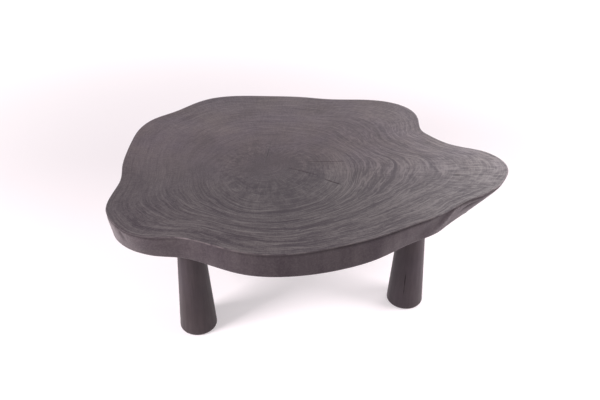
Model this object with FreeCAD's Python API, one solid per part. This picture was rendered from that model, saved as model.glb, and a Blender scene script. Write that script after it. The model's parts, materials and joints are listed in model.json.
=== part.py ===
"""Live edge coffee table: one tree slice on three turned legs, screwed up to hidden plates.

All sizes are in millimetres. +Z is up, the floor is z = 0, and the origin is under the middle of the top.
The outline of the slice is drawn about its pith, the centre of the growth rings.
"""

import FreeCAD
import Part
import math
import os

from FreeCAD import Vector

# Overall sizes
TABLE_HEIGHT = 400.0
SLAB_LENGTH = 1220.0
SLAB_DEPTH = 920.0
SLAB_THICKNESS = 80.0

# Live edge of the slab: its rounded rims, how the undercut deepens from the top edge to the underside,
# the levels it is lofted through and the patches it is made of round the slab
TOP_EDGE_ROUND = 4.0
BOTTOM_EDGE_ROUND = 5.0
UNDERCUT_CURVE = 1.3
EDGE_LEVELS = 4
EDGE_PATCHES = 8

# Each point of the upper edge, anticlockwise from the tip of the tail: x and y from the pith,
# and the undercut, which is how far inside it the lower edge lies
LIVE_EDGE = [
    (760, -12, 76),
    (742, 52, 58),
    (700, 92, 40),
    (626, 121, 26),
    (574, 157, 16),
    (520, 224, 8),
    (517, 300, 14),
    (492, 384, 24),
    (433, 429, 26),
    (350, 449, 20),
    (205, 454, 12),
    (120, 469, 14),
    (-20, 479, 18),
    (-160, 478, 22),
    (-225, 461, 24),
    (-285, 420, 20),
    (-345, 360, 16),
    (-410, 307, 20),
    (-446, 245, 24),
    (-459, 158, 20),
    (-462, 66, 16),
    (-459, -6, 12),
    (-451, -70, 8),
    (-465, -185, 10),
    (-460, -245, 10),
    (-432, -294, 12),
    (-380, -343, 19),
    (-315, -365, 18),
    (-245, -365, 8),
    (-150, -394, 1),
    (-50, -431, -2),
    (50, -440, -2),
    (216, -402, -10),
    (330, -358, -3),
    (437, -300, 12),
    (530, -248, 18),
    (611, -184, 30),
    (661, -161, 48),
    (706, -122, 76),
    (740, -72, 86),
]

# Where the legs stand: the distance from the upper edge in to each leg's axis, along a direction
# from the pith that is given in degrees
FRONT_LEFT_EDGE_DISTANCE = 89.0
FRONT_RIGHT_EDGE_DISTANCE = 122.5
REAR_EDGE_DISTANCE = 140.0
LEG_PLACES = {
    "front_left": (-126.6, FRONT_LEFT_EDGE_DISTANCE),
    "front_right": (-21.8, FRONT_RIGHT_EDGE_DISTANCE),
    "rear": (87.5, REAR_EDGE_DISTANCE),
}

# Turned legs
LEG_FOOT_DIAMETER = 115.0
LEG_TOP_DIAMETER = 78.0
LEG_FOOT_ROUND = 5.0
LEG_TOP_CHAMFER = 1.5

# Steel plate let into the underside of the slab above each leg, and covered by the leg's top
PLATE_INSET = 4.0
PLATE_THICKNESS = 4.0
PLATE_POCKET_CLEARANCE = 0.5

# Countersunk wood screws that hold each plate
PLATE_SCREW_COUNT = 4
PLATE_SCREW_RIM_DISTANCE = 9.0
PLATE_SCREW_DIAMETER = 4.5
PLATE_SCREW_HEAD_DIAMETER = 8.0
PLATE_SCREW_LENGTH = 40.0

# Threaded bush staked into each plate
BUSH_WALL = 3.0
BUSH_LENGTH = 22.0
BUSH_COLLAR_STEP = 2.5
BUSH_COLLAR_HEIGHT = 3.0
BUSH_BORE_CLEARANCE = 0.8
BUSH_BORE_END_GAP = 5.0

# Hanger bolt: a machine thread up into the bush and a wood thread down into the leg
BOLT_DIAMETER = 10.0
BOLT_PITCH = 1.5
BOLT_THREAD_DEPTH = 0.9
BOLT_END_GAP = 2.0
LAG_DIAMETER = 10.0
LAG_LENGTH = 55.0
LAG_PITCH = 4.0
LAG_THREAD_DEPTH = 1.5

# Screw-on glide let into each leg's foot: a plastic cup, a felt disc in it and a screw.
# The reveal is the gap that it keeps between the foot and the floor.
GLIDE_REVEAL = 2.0
GLIDE_SOCKET_CLEARANCE = 0.3
GLIDE_CUP_DIAMETER = 50.0
GLIDE_CUP_FLOOR = 2.2
GLIDE_CUP_RIM_DEPTH = 1.4
GLIDE_CUP_RIM_WALL = 2.5
FELT_STAND_PROUD = 1.2
FELT_CLEARANCE = 0.2
GLIDE_SCREW_DIAMETER = 3.5
GLIDE_SCREW_HEAD_DIAMETER = 7.0
GLIDE_SCREW_LENGTH = 22.0

# Wood screw threads, and the cross recess in the screws' heads
SCREW_PITCH = 2.0
SCREW_THREAD_DEPTH = 0.7
RECESS_WIDTH = 1.0
RECESS_RIM = 2.0
RECESS_DEPTH = 1.2

# Sizes and heights worked out from those above
SLAB_UNDERSIDE = TABLE_HEIGHT - SLAB_THICKNESS
PLATE_DIAMETER = LEG_TOP_DIAMETER - 2 * PLATE_INSET
BUSH_DIAMETER = BOLT_DIAMETER + 2 * BUSH_WALL
BUSH_COLLAR_DIAMETER = BUSH_DIAMETER + 2 * BUSH_COLLAR_STEP
FELT_THICKNESS = GLIDE_CUP_RIM_DEPTH + FELT_STAND_PROUD
GLIDE_HEIGHT = FELT_THICKNESS + GLIDE_CUP_FLOOR
LEG_HEIGHT = SLAB_UNDERSIDE - GLIDE_REVEAL

ORIGIN = Vector(0, 0, 0)
UP = Vector(0, 0, 1)
FULL_TURN = 360.0
LEVEL_TOLERANCE = 1e-6


def turned(profile):
    """A solid turned about the Z axis from (radius, height) corners that start and end on the axis."""
    corners = [Vector(radius, 0, height) for radius, height in profile]
    face = Part.Face(Part.makePolygon(corners + corners[:1]))
    return face.revolve(ORIGIN, UP, FULL_TURN)


def disc(diameter, low, high):
    """A round solid on the Z axis between two heights."""
    return Part.makeCylinder(diameter / 2, high - low, Vector(0, 0, low))


def flat_edges(solid, height):
    """The edges of a solid that lie level at a height."""
    return [e for e in solid.Edges if all(abs(v.Z - height) < LEVEL_TOLERANCE for v in e.Vertexes)]


def thread_ridges(diameter, depth, pitch, low, high):
    """Corners of a ridged shank from low up to high, one ridge for each whole pitch."""
    crest = diameter / 2
    root = crest - depth
    corners = []
    count = int((high - low) / pitch)
    for turn in range(count):
        start = low + turn * pitch
        corners += [(root, start), (crest, start + pitch / 2)]
    corners += [(root, low + count * pitch), (root, high)]
    return corners


def wood_screw(diameter, head_diameter, length):
    """A countersunk wood screw with its head's face at z = 0 and its point up at z = length."""
    crest = diameter / 2
    head_height = head_diameter / 2 - crest
    thread_start = head_height + SCREW_PITCH
    point_start = length - diameter
    profile = [(0, 0), (head_diameter / 2, 0), (crest, head_height)]
    profile += thread_ridges(diameter, SCREW_THREAD_DEPTH, SCREW_PITCH, thread_start, point_start)
    profile += [(0, length)]
    return turned(profile)


def with_recess(screw, head_diameter):
    """A wood screw with the cross that a driver turns cut up into its head."""
    reach = head_diameter / 2 - RECESS_RIM
    for half_x, half_y in ((reach, RECESS_WIDTH / 2), (RECESS_WIDTH / 2, reach)):
        screw = screw.cut(Part.makeBox(2 * half_x, 2 * half_y, RECESS_DEPTH, Vector(-half_x, -half_y, 0)))
    return screw


def hanger_bolt():
    """The bolt at its height, with its change of thread where leg and plate meet."""
    machine_length = BUSH_LENGTH - BOLT_END_GAP
    lag_root = LAG_DIAMETER / 2 - LAG_THREAD_DEPTH
    lag_start = LAG_DIAMETER - LAG_LENGTH
    profile = [(0, -LAG_LENGTH)]
    profile += thread_ridges(LAG_DIAMETER, LAG_THREAD_DEPTH, LAG_PITCH, lag_start, -LAG_PITCH)
    profile += [(lag_root, 0)]
    profile += thread_ridges(BOLT_DIAMETER, BOLT_THREAD_DEPTH, BOLT_PITCH, 0, machine_length)
    profile += [(0, machine_length)]
    return turned(profile).translated(Vector(0, 0, SLAB_UNDERSIDE))


def plate_screw_places():
    """Where the heads of the plate screws lie about the leg's axis, between the directions of X and Y."""
    radius = PLATE_DIAMETER / 2 - PLATE_SCREW_RIM_DISTANCE
    half_step = FULL_TURN / PLATE_SCREW_COUNT / 2
    places = []
    for number in range(PLATE_SCREW_COUNT):
        turn = FreeCAD.Rotation(UP, (2 * number + 1) * half_step)
        places.append(turn.multVec(Vector(radius, 0, SLAB_UNDERSIDE)))
    return places


def leg_fixings():
    """The bolt, bush, plate and screws above a leg by name, and the list of cuts they need in the slab."""
    bolt = hanger_bolt()
    screw = wood_screw(PLATE_SCREW_DIAMETER, PLATE_SCREW_HEAD_DIAMETER, PLATE_SCREW_LENGTH)
    driven_screw = with_recess(screw, PLATE_SCREW_HEAD_DIAMETER)
    places = plate_screw_places()
    screw_cuts = [screw.translated(place) for place in places]

    plate_top = SLAB_UNDERSIDE + PLATE_THICKNESS
    bush_top = SLAB_UNDERSIDE + BUSH_LENGTH
    bush_body = disc(BUSH_DIAMETER, SLAB_UNDERSIDE, bush_top)
    collar = disc(BUSH_COLLAR_DIAMETER, plate_top, plate_top + BUSH_COLLAR_HEIGHT)
    plate = disc(PLATE_DIAMETER, SLAB_UNDERSIDE, plate_top)
    pieces = {
        "hanger_bolt": bolt,
        "threaded_bush": bush_body.fuse(collar).removeSplitter().cut(bolt),
        "mounting_plate": plate.cut([bush_body, *screw_cuts]),
        "plate_screws": Part.makeCompound([driven_screw.translated(place) for place in places]),
    }

    pocket = disc(PLATE_DIAMETER + 2 * PLATE_POCKET_CLEARANCE, SLAB_UNDERSIDE, plate_top)
    bore_diameter = BUSH_COLLAR_DIAMETER + 2 * BUSH_BORE_CLEARANCE
    bore = disc(bore_diameter, SLAB_UNDERSIDE, bush_top + BUSH_BORE_END_GAP)
    return pieces, [pocket, bore, *screw_cuts]


def leg_glide():
    """The cup, felt and screw under a leg by name, and the list of cuts they need in its foot."""
    screw_place = Vector(0, 0, FELT_THICKNESS)
    screw = wood_screw(GLIDE_SCREW_DIAMETER, GLIDE_SCREW_HEAD_DIAMETER, GLIDE_SCREW_LENGTH)
    screw_cut = screw.translated(screw_place)
    felt_space_diameter = GLIDE_CUP_DIAMETER - 2 * GLIDE_CUP_RIM_WALL
    felt_space = disc(felt_space_diameter, FELT_STAND_PROUD, FELT_THICKNESS)
    pieces = {
        "glide_cup": disc(GLIDE_CUP_DIAMETER, FELT_STAND_PROUD, GLIDE_HEIGHT).cut([felt_space, screw_cut]),
        "glide_felt": disc(felt_space_diameter - 2 * FELT_CLEARANCE, 0, FELT_THICKNESS),
        "glide_screw": with_recess(screw, GLIDE_SCREW_HEAD_DIAMETER).translated(screw_place),
    }
    socket = disc(GLIDE_CUP_DIAMETER + 2 * GLIDE_SOCKET_CLEARANCE, GLIDE_REVEAL, GLIDE_HEIGHT)
    return pieces, [socket, screw_cut]


def turned_leg(cuts):
    """The tapered leg with its rounded foot, bored by the given cuts."""
    low = Vector(0, 0, GLIDE_REVEAL)
    leg = Part.makeCone(LEG_FOOT_DIAMETER / 2, LEG_TOP_DIAMETER / 2, LEG_HEIGHT, low)
    leg = leg.makeFillet(LEG_FOOT_ROUND, flat_edges(leg, GLIDE_REVEAL))
    leg = leg.makeChamfer(LEG_TOP_CHAMFER, flat_edges(leg, SLAB_UNDERSIDE))
    return leg.cut(cuts)


def leg_set():
    """Every piece of one leg by name, standing with the leg's axis on Z, and the list of cuts in the slab."""
    fixings, slab_cuts = leg_fixings()
    glide, foot_cuts = leg_glide()
    leg = turned_leg([fixings["hanger_bolt"], *foot_cuts])
    return {"leg": leg, **fixings, **glide}, slab_cuts


def drawn_edge(level):
    """The closed curve of the live edge about the pith, at a level from 0 at the top to 1 underneath."""
    points = []
    for x, y, undercut in LIVE_EDGE:
        share = 1 - undercut * level**UNDERCUT_CURVE / math.hypot(x, y)
        points.append(Vector(x * share, y * share, 0))
    curve = Part.BSplineCurve()
    curve.interpolate(Points=points, PeriodicFlag=True)
    return curve


def edge_wire(level):
    """The live edge at a level, at its real size and height about the pith, in patches round the slab."""
    upper_box = drawn_edge(0).toShape().optimalBoundingBox(False)
    scale_x = SLAB_LENGTH / upper_box.XLength
    scale_y = SLAB_DEPTH / upper_box.YLength
    height = TABLE_HEIGHT - level * SLAB_THICKNESS
    curve = drawn_edge(level)
    for number, pole in enumerate(curve.getPoles(), start=1):
        curve.setPole(number, Vector(pole.x * scale_x, pole.y * scale_y, height))
    first = curve.FirstParameter
    step = (curve.LastParameter - first) / EDGE_PATCHES
    patches = [Part.Edge(curve, first + k * step, first + (k + 1) * step) for k in range(EDGE_PATCHES)]
    return Part.Wire(patches)


def slab_blank():
    """The slice with its live edge and rounded rims, about the pith, before the plates are let in."""
    sections = [edge_wire(step / (EDGE_LEVELS - 1)) for step in range(EDGE_LEVELS)]
    blank = Part.makeLoft(sections, True, False)
    blank = blank.makeFillet(TOP_EDGE_ROUND, flat_edges(blank, TABLE_HEIGHT))
    return blank.makeFillet(BOTTOM_EDGE_ROUND, flat_edges(blank, SLAB_UNDERSIDE))


def leg_axis(place):
    """Where a leg's axis meets the floor, about the pith."""
    direction, edge_distance = LEG_PLACES[place]
    turn = FreeCAD.Rotation(UP, direction)
    start = Vector(0, 0, TABLE_HEIGHT)
    ray = Part.makeLine(start, start + turn.multVec(Vector(SLAB_LENGTH, 0, 0)))
    nearest_points = edge_wire(0).distToShape(ray)[1]
    crossing = nearest_points[0][0]
    reach = math.hypot(crossing.x, crossing.y)
    return turn.multVec(Vector(reach - edge_distance, 0, 0))


def table_pieces():
    """Every piece of the table by node name, with the origin under the middle of the top."""
    slab = slab_blank()
    middle = slab.optimalBoundingBox(False).Center
    pith_place = Vector(-middle.x, -middle.y, 0)
    slab.translate(pith_place)
    leg_pieces, slab_cuts = leg_set()
    pieces = {}
    for place in LEG_PLACES:
        stand = leg_axis(place) + pith_place
        slab = slab.cut([cut.translated(stand) for cut in slab_cuts])
        for name, shape in leg_pieces.items():
            pieces[f"{name}_{place}"] = shape.translated(stand)
    pieces["slab_top"] = slab
    return pieces


def main():
    """Writes one STEP file for each piece of the table."""
    os.makedirs("parts", exist_ok=True)
    for name, shape in table_pieces().items():
        shape.exportStep(f"parts/{name}.step")
        print(f"{name}: {len(shape.Solids)} solids, valid {shape.isValid()}, {shape.Volume / 1000:.1f} cm3")


main()
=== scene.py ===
"""Looks of a live edge coffee table: one stained tree slice on three turned legs.

Everything is in metres, in the frame of the solids, which give the sizes and places.
The slice is drawn about its pith, the centre of its growth rings, with +X towards its tail.
"""

import json
import logging
import math
from dataclasses import dataclass
from enum import Enum
from typing import Any

import bmesh
import bpy
import numpy as np
from mathutils import Matrix, Vector, noise
from mathutils.bvhtree import BVHTree


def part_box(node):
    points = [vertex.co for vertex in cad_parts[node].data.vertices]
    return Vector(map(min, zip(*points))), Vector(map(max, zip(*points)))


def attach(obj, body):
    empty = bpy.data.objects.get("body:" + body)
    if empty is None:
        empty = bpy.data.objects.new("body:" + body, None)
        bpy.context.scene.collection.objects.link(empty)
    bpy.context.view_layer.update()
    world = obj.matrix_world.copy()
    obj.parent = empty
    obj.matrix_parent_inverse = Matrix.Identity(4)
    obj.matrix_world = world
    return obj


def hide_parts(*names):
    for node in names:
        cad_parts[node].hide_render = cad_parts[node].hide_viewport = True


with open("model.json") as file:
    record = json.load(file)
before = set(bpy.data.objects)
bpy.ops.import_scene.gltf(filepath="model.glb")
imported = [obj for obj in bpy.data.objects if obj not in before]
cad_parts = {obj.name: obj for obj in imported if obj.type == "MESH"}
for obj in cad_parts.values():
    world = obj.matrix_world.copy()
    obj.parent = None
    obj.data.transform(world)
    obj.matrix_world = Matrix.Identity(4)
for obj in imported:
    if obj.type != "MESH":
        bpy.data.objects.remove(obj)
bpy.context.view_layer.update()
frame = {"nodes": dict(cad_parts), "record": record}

LOG = logging.getLogger("live_edge_table")
BODY = "root"
MM = 0.001
TURN = 2 * math.pi

Pair = tuple[float, float]
Triple = tuple[float, float, float]
Colour = Triple
# A ramp is the range that a value is eased from, and the two values that its ends become.
Ramp = tuple[float, float, float, float]
Inputs = dict[str | int, Any]
Socket = bpy.types.NodeSocket


class TreeKind(Enum):
    """The two kinds of node tree that are built here."""

    SHADER = "ShaderNodeTree"
    GEOMETRY = "GeometryNodeTree"


class SocketKind(Enum):
    """The kinds of socket that the node groups have."""

    VALUE = "NodeSocketFloat"
    COUNT = "NodeSocketInt"
    VECTOR = "NodeSocketVector"
    SHAPE = "NodeSocketGeometry"
    FINISH = "NodeSocketMaterial"


class Place(Enum):
    """Where the three legs stand."""

    FRONT_LEFT = "front_left"
    FRONT_RIGHT = "front_right"
    REAR = "rear"


def numbers(*names: str) -> dict[str, SocketKind]:
    """Sockets that carry plain numbers."""
    return dict.fromkeys(names, SocketKind.VALUE)


class NodeBench:
    """Adds nodes to one tree and wires them as they are made."""

    def __init__(self, tree: bpy.types.NodeTree) -> None:
        """Starts work on a tree."""
        self.tree = tree

    def feed(self, socket: Socket, value: Any) -> None:
        """Links a socket to another one, or sets its value.

        Args:
            socket: The input that is fed.
            value: An output socket, a number, a colour, a vector or a name.
        """
        if isinstance(value, Socket):
            self.tree.links.new(value, socket)
        elif socket.type == "RGBA":
            socket.default_value = (*value, 1.0)
        else:
            socket.default_value = value

    def add(self, kind: str, inputs: Inputs | None = None, **options: Any) -> bpy.types.Node:
        """Adds a node.

        Args:
            kind: The node's type.
            inputs: What feeds its inputs, by name or number.
            options: The node's own settings.

        Returns:
            The new node.
        """
        node = self.tree.nodes.new(kind)
        for name, value in options.items():
            setattr(node, name, value)
        for key, value in (inputs or {}).items():
            self.feed(node.inputs[key], value)
        return node

    def made(self, kind: str, inputs: Inputs | None = None, **options: Any) -> Socket:
        """The first output of a new node."""
        return self.add(kind, inputs, **options).outputs[0]

    def math(self, operation: str, *values: Any) -> Socket:
        """The result of a Math node on the values given."""
        return self.made("ShaderNodeMath", dict(enumerate(values)), operation=operation)

    def vector(self, operation: str, *values: Any) -> Socket:
        """The vector that a Vector Math node gives for the values."""
        return self.made("ShaderNodeVectorMath", dict(enumerate(values)), operation=operation)

    def measure(self, operation: str, *vectors: Any) -> Socket:
        """The number that a Vector Math node gives, such as a length."""
        node = self.add("ShaderNodeVectorMath", dict(enumerate(vectors)), operation=operation)
        return node.outputs["Value"]

    def chain(self, operation: str, *values: Any) -> Socket:
        """Puts several numbers together, one after the other.

        Args:
            operation: What a Math node does with two of them.
            values: The numbers, of which some are sockets.

        Returns:
            The result.
        """
        result = values[0]
        for value in values[1:]:
            result = self.math(operation, result, value)
        return result

    def total(self, *values: Any) -> Socket:
        """The sum of several numbers."""
        return self.chain("ADD", *values)

    def product(self, *values: Any) -> Socket:
        """The product of several numbers."""
        return self.chain("MULTIPLY", *values)

    def minus(self, first: Any, second: Any) -> Socket:
        """The difference of two numbers."""
        return self.math("SUBTRACT", first, second)

    def swing(self, value: Socket, amount: float) -> Socket:
        """A value about 0.5 turned into one about 0 that swings by an amount each way."""
        return self.product(self.minus(value, 0.5), 2 * amount)

    def remap(
        self, value: Socket, low: float, high: float, to_low: float = 0.0, to_high: float = 1.0
    ) -> Socket:
        """A value eased from one range to another, and held at its ends."""
        inputs = dict(enumerate((value, low, high, to_low, to_high)))
        return self.made("ShaderNodeMapRange", inputs, interpolation_type="SMOOTHSTEP")

    def noise(self, vector: Socket, scale: Any, detail: float = 2.0, roughness: float = 0.5) -> Socket:
        """Fractal noise from 0 to 1 over a vector."""
        inputs = {"Vector": vector, "Scale": scale, "Detail": detail, "Roughness": roughness}
        return self.made("ShaderNodeTexNoise", inputs)

    def blend(self, share: Any, first: Any, second: Any) -> Socket:
        """A colour between two others."""
        return self.add("ShaderNodeMix", {0: share, 6: first, 7: second}, data_type="RGBA").outputs[2]

    def between(self, share: Any, first: Any, second: Any) -> Socket:
        """A number between two others."""
        return self.made("ShaderNodeMix", {0: share, 2: first, 3: second}, data_type="FLOAT")

    def split(self, vector: Socket) -> list[Socket]:
        """The three parts of a vector."""
        return list(self.add("ShaderNodeSeparateXYZ", {0: vector}).outputs)

    def join(self, x: Any, y: Any, z: Any) -> Socket:
        """A vector made of three parts."""
        return self.made("ShaderNodeCombineXYZ", {0: x, 1: y, 2: z})


class GroupBench(NodeBench):
    """A node group under construction, with named inputs and outputs."""

    def __init__(
        self, name: str, kind: TreeKind, inputs: dict[str, SocketKind], outputs: dict[str, SocketKind]
    ) -> None:
        """Makes an empty group.

        Args:
            name: The group's name.
            kind: Shader or geometry nodes.
            inputs: The names and kinds of its inputs.
            outputs: The names and kinds of its outputs.
        """
        super().__init__(bpy.data.node_groups.new(name, kind.value))
        for direction, sockets in (("INPUT", inputs), ("OUTPUT", outputs)):
            for label, socket_kind in sockets.items():
                self.tree.interface.new_socket(label, in_out=direction, socket_type=socket_kind.value)
        self.source = self.tree.nodes.new("NodeGroupInput").outputs
        self.sink = self.tree.nodes.new("NodeGroupOutput").inputs

    def put(self, **outputs: Socket) -> bpy.types.NodeTree:
        """Feeds the group's outputs.

        Args:
            outputs: What feeds each output, by name.

        Returns:
            The finished group.
        """
        for name, value in outputs.items():
            self.feed(self.sink[name], value)
        return self.tree


class MaterialBench(NodeBench):
    """A material under construction, on its own Principled shader."""

    def __init__(self, name: str, **plain: Any) -> None:
        """Makes a material.

        Args:
            name: The material's name.
            plain: Values that are the same all over, by socket, with underscores for spaces.
        """
        self.material = bpy.data.materials.new(name)
        self.material.use_nodes = True
        super().__init__(self.material.node_tree)
        self.shader = self.tree.nodes["Principled BSDF"]
        self.set(**plain)

    def set(self, **sockets: Any) -> None:
        """Feeds the shader's sockets, named with underscores for spaces."""
        for name, value in sockets.items():
            self.feed(self.shader.inputs[name.replace("_", " ")], value)

    def object_place(self, centre: Vector | Triple = (0, 0, 0), scale: Triple = (1, 1, 1)) -> Socket:
        """Object coordinates about a centre, stretched by a scale.

        Args:
            centre: What they are counted from.
            scale: How far each axis is stretched.

        Returns:
            The coordinates.
        """
        coordinates = self.add("ShaderNodeTexCoord").outputs["Object"]
        moved = self.vector("SUBTRACT", coordinates, tuple(centre))
        return self.made("ShaderNodeMapping", {"Vector": moved, "Scale": scale})

    def attribute(self, name: str) -> Socket:
        """A number that the piece's own mesh carries."""
        return self.add("ShaderNodeAttribute", attribute_name=name).outputs["Fac"]

    def group(self, tree: bpy.types.NodeTree, **inputs: Any) -> bpy.types.NodeOutputs:
        """Places a shared node group, fed by name, and gives its outputs."""
        return self.add("ShaderNodeGroup", inputs, node_tree=tree).outputs

    def bump(self, height: Socket, distance: float) -> None:
        """Raises the surface by a height in units of a distance."""
        self.set(Normal=self.made("ShaderNodeBump", {"Height": height, "Distance": distance}))


class SharedEffects:
    """Shader node groups that more than one finish uses."""

    TONE_CONTRAST: Pair = (0.28, 0.72)
    TINT_CONTRAST: Pair = (0.32, 0.68)
    TINT_SHIFT: Triple = (3.7, 1.9, 5.3)
    STREAK_CONTRAST: Pair = (0.30, 0.70)
    PORE_CONTRAST: Pair = (0.56, 0.70)
    PORE_FINENESS: float = 4.3
    PORE_DEPTH: float = 0.25
    RUB_SCALE: float = 55.0
    RUB_PATCHES: Ramp = (0.36, 0.62, 0.25, 1.0)
    DARKENING_SCALE: float = 120.0
    DARKENING_STREAKS: Ramp = (0.3, 0.7, 0.7, 1.0)

    def __init__(self) -> None:
        """Builds each group once."""
        self.clouds = self.make_clouds()
        self.grain = self.make_grain()
        self.wear_and_light = self.make_wear_and_light()

    def make_clouds(self) -> bpy.types.NodeTree:
        """Cloudy unevenness of a finish: a tone, and a tint that shifts on its own.

        Returns:
            The node group.
        """
        sockets = {"Vector": SocketKind.VECTOR} | numbers("Scale")
        bench = GroupBench("finish_clouds", TreeKind.SHADER, sockets, numbers("Tone", "Tint"))
        place, scale = bench.source["Vector"], bench.source["Scale"]
        tone = bench.noise(place, scale, detail=4.0, roughness=0.58)
        tint = bench.noise(bench.vector("ADD", place, self.TINT_SHIFT), scale, detail=3.0)
        return bench.put(
            Tone=bench.remap(tone, *self.TONE_CONTRAST),
            Tint=bench.remap(tint, *self.TINT_CONTRAST),
        )

    def make_grain(self) -> bpy.types.NodeTree:
        """Wood grain over coordinates that are already stretched along the fibres.

        Returns:
            The node group, with a streaky tone, dark pores and a height.
        """
        sockets = {"Vector": SocketKind.VECTOR} | numbers("Density")
        bench = GroupBench("wood_grain", TreeKind.SHADER, sockets, numbers("Streak", "Pore", "Height"))
        place, density = bench.source["Vector"], bench.source["Density"]
        streak = bench.noise(place, density, detail=5.0, roughness=0.62)
        fine = bench.noise(place, bench.product(density, self.PORE_FINENESS), roughness=0.6)
        pore = bench.remap(fine, *self.PORE_CONTRAST)
        return bench.put(
            Streak=bench.remap(streak, *self.STREAK_CONTRAST),
            Pore=pore,
            Height=bench.minus(streak, bench.product(pore, self.PORE_DEPTH)),
        )

    def make_wear_and_light(self) -> bpy.types.NodeTree:
        """Where edges are lightened, by rubbed stain and a painted highlight, and hollows are darkened,
        by painted shade and dark marks, both broken up.

        Returns:
            The node group, with a mask for each.
        """
        sockets = {"Vector": SocketKind.VECTOR} | numbers("Edge", "Hollow")
        bench = GroupBench("stain_wear", TreeKind.SHADER, sockets, numbers("Rubbed", "Pooled"))
        place = bench.source["Vector"]
        patches = bench.remap(bench.noise(place, self.RUB_SCALE, detail=3.0), *self.RUB_PATCHES)
        streaks = bench.remap(bench.noise(place, self.DARKENING_SCALE), *self.DARKENING_STREAKS)
        # The edge mask gives a painted highlight with rubbed stain, and the hollow mask gives painted
        # shade with dark marks.
        return bench.put(
            Rubbed=bench.product(bench.source["Edge"], patches),
            Pooled=bench.product(bench.source["Hollow"], streaks),
        )


@dataclass(frozen=True)
class StainedWood:
    """The satin grey-black stain that the slice and the legs share."""

    dark: Colour = (0.0275, 0.0158, 0.0235)
    light: Colour = (0.1080, 0.0780, 0.0880)
    purple_tint: Colour = (1.00, 0.98, 1.05)
    brown_tint: Colour = (1.03, 1.00, 0.94)
    grey_tint: Colour = (0.915, 1.06, 0.965)
    # Lighter colour of the edges: rubbed stain and a painted highlight.
    rubbed_and_lit: Colour = (0.230, 0.185, 0.195)
    # Near-black colour of painted shade in hollows and cracks, and of dark marks.
    shade_and_mark_colour: Colour = (0.012, 0.009, 0.010)
    roughness: float = 0.45
    roughness_swing: float = 0.05
    shade_and_mark_roughness: float = 0.8
    specular: float = 0.36
    specular_tint: Colour = (1.0, 0.92, 0.96)
    cloud_scale: float = 7.0
    cloud_tone: float = 0.13
    bump_depth: float = 0.25 * MM

    def start(self, name: str) -> MaterialBench:
        """Starts a material with what is the same all over the stain."""
        return MaterialBench(name, Specular_IOR_Level=self.specular, Specular_Tint=self.specular_tint)

    def finish(
        self,
        bench: MaterialBench,
        effects: SharedEffects,
        tone: Socket,
        place: Socket,
        hollow: Socket,
        height: Socket,
        grey: Any,
    ) -> bpy.types.Material:
        """Turns a tone into the stained colour, gloss and relief of a material.

        Args:
            bench: The material, whose mesh carries a mask of the edges that are lightened by rubbed
                stain and a painted highlight.
            effects: The shared node groups.
            tone: How light the wood is, from 0 to 1.
            place: Object coordinates.
            hollow: A mask of painted shade in hollows and cracks, with dark marks such as the knot.
            height: The relief of the grain, from 0 to 1.
            grey: How far the stain's tint has faded to grey.

        Returns:
            The finished material.
        """
        clouds = bench.group(effects.clouds, Vector=place, Scale=self.cloud_scale)
        wear_and_light = bench.group(effects.wear_and_light, Vector=place, Edge=bench.attribute("edge"), Hollow=hollow)
        clouded = bench.total(tone, bench.swing(clouds["Tone"], self.cloud_tone))
        stain = bench.blend(clouded, self.dark, self.light)
        tint = bench.blend(clouds["Tint"], self.purple_tint, self.brown_tint)
        stain = bench.vector("MULTIPLY", stain, bench.blend(grey, tint, self.grey_tint))
        # Painted highlight with rubbed stain on the edges, then painted shade with dark marks in the
        # hollows.
        stain = bench.blend(wear_and_light["Rubbed"], stain, self.rubbed_and_lit)
        stain = bench.blend(wear_and_light["Pooled"], stain, self.shade_and_mark_colour)
        dull, bright = self.roughness + self.roughness_swing, self.roughness - self.roughness_swing
        gloss = bench.remap(clouded, 0.0, 1.0, dull, bright)
        bench.set(
            Base_Color=stain,
            Roughness=bench.between(wear_and_light["Pooled"], gloss, self.shade_and_mark_roughness),
        )
        bench.bump(height, self.bump_depth)
        return bench.material


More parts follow.
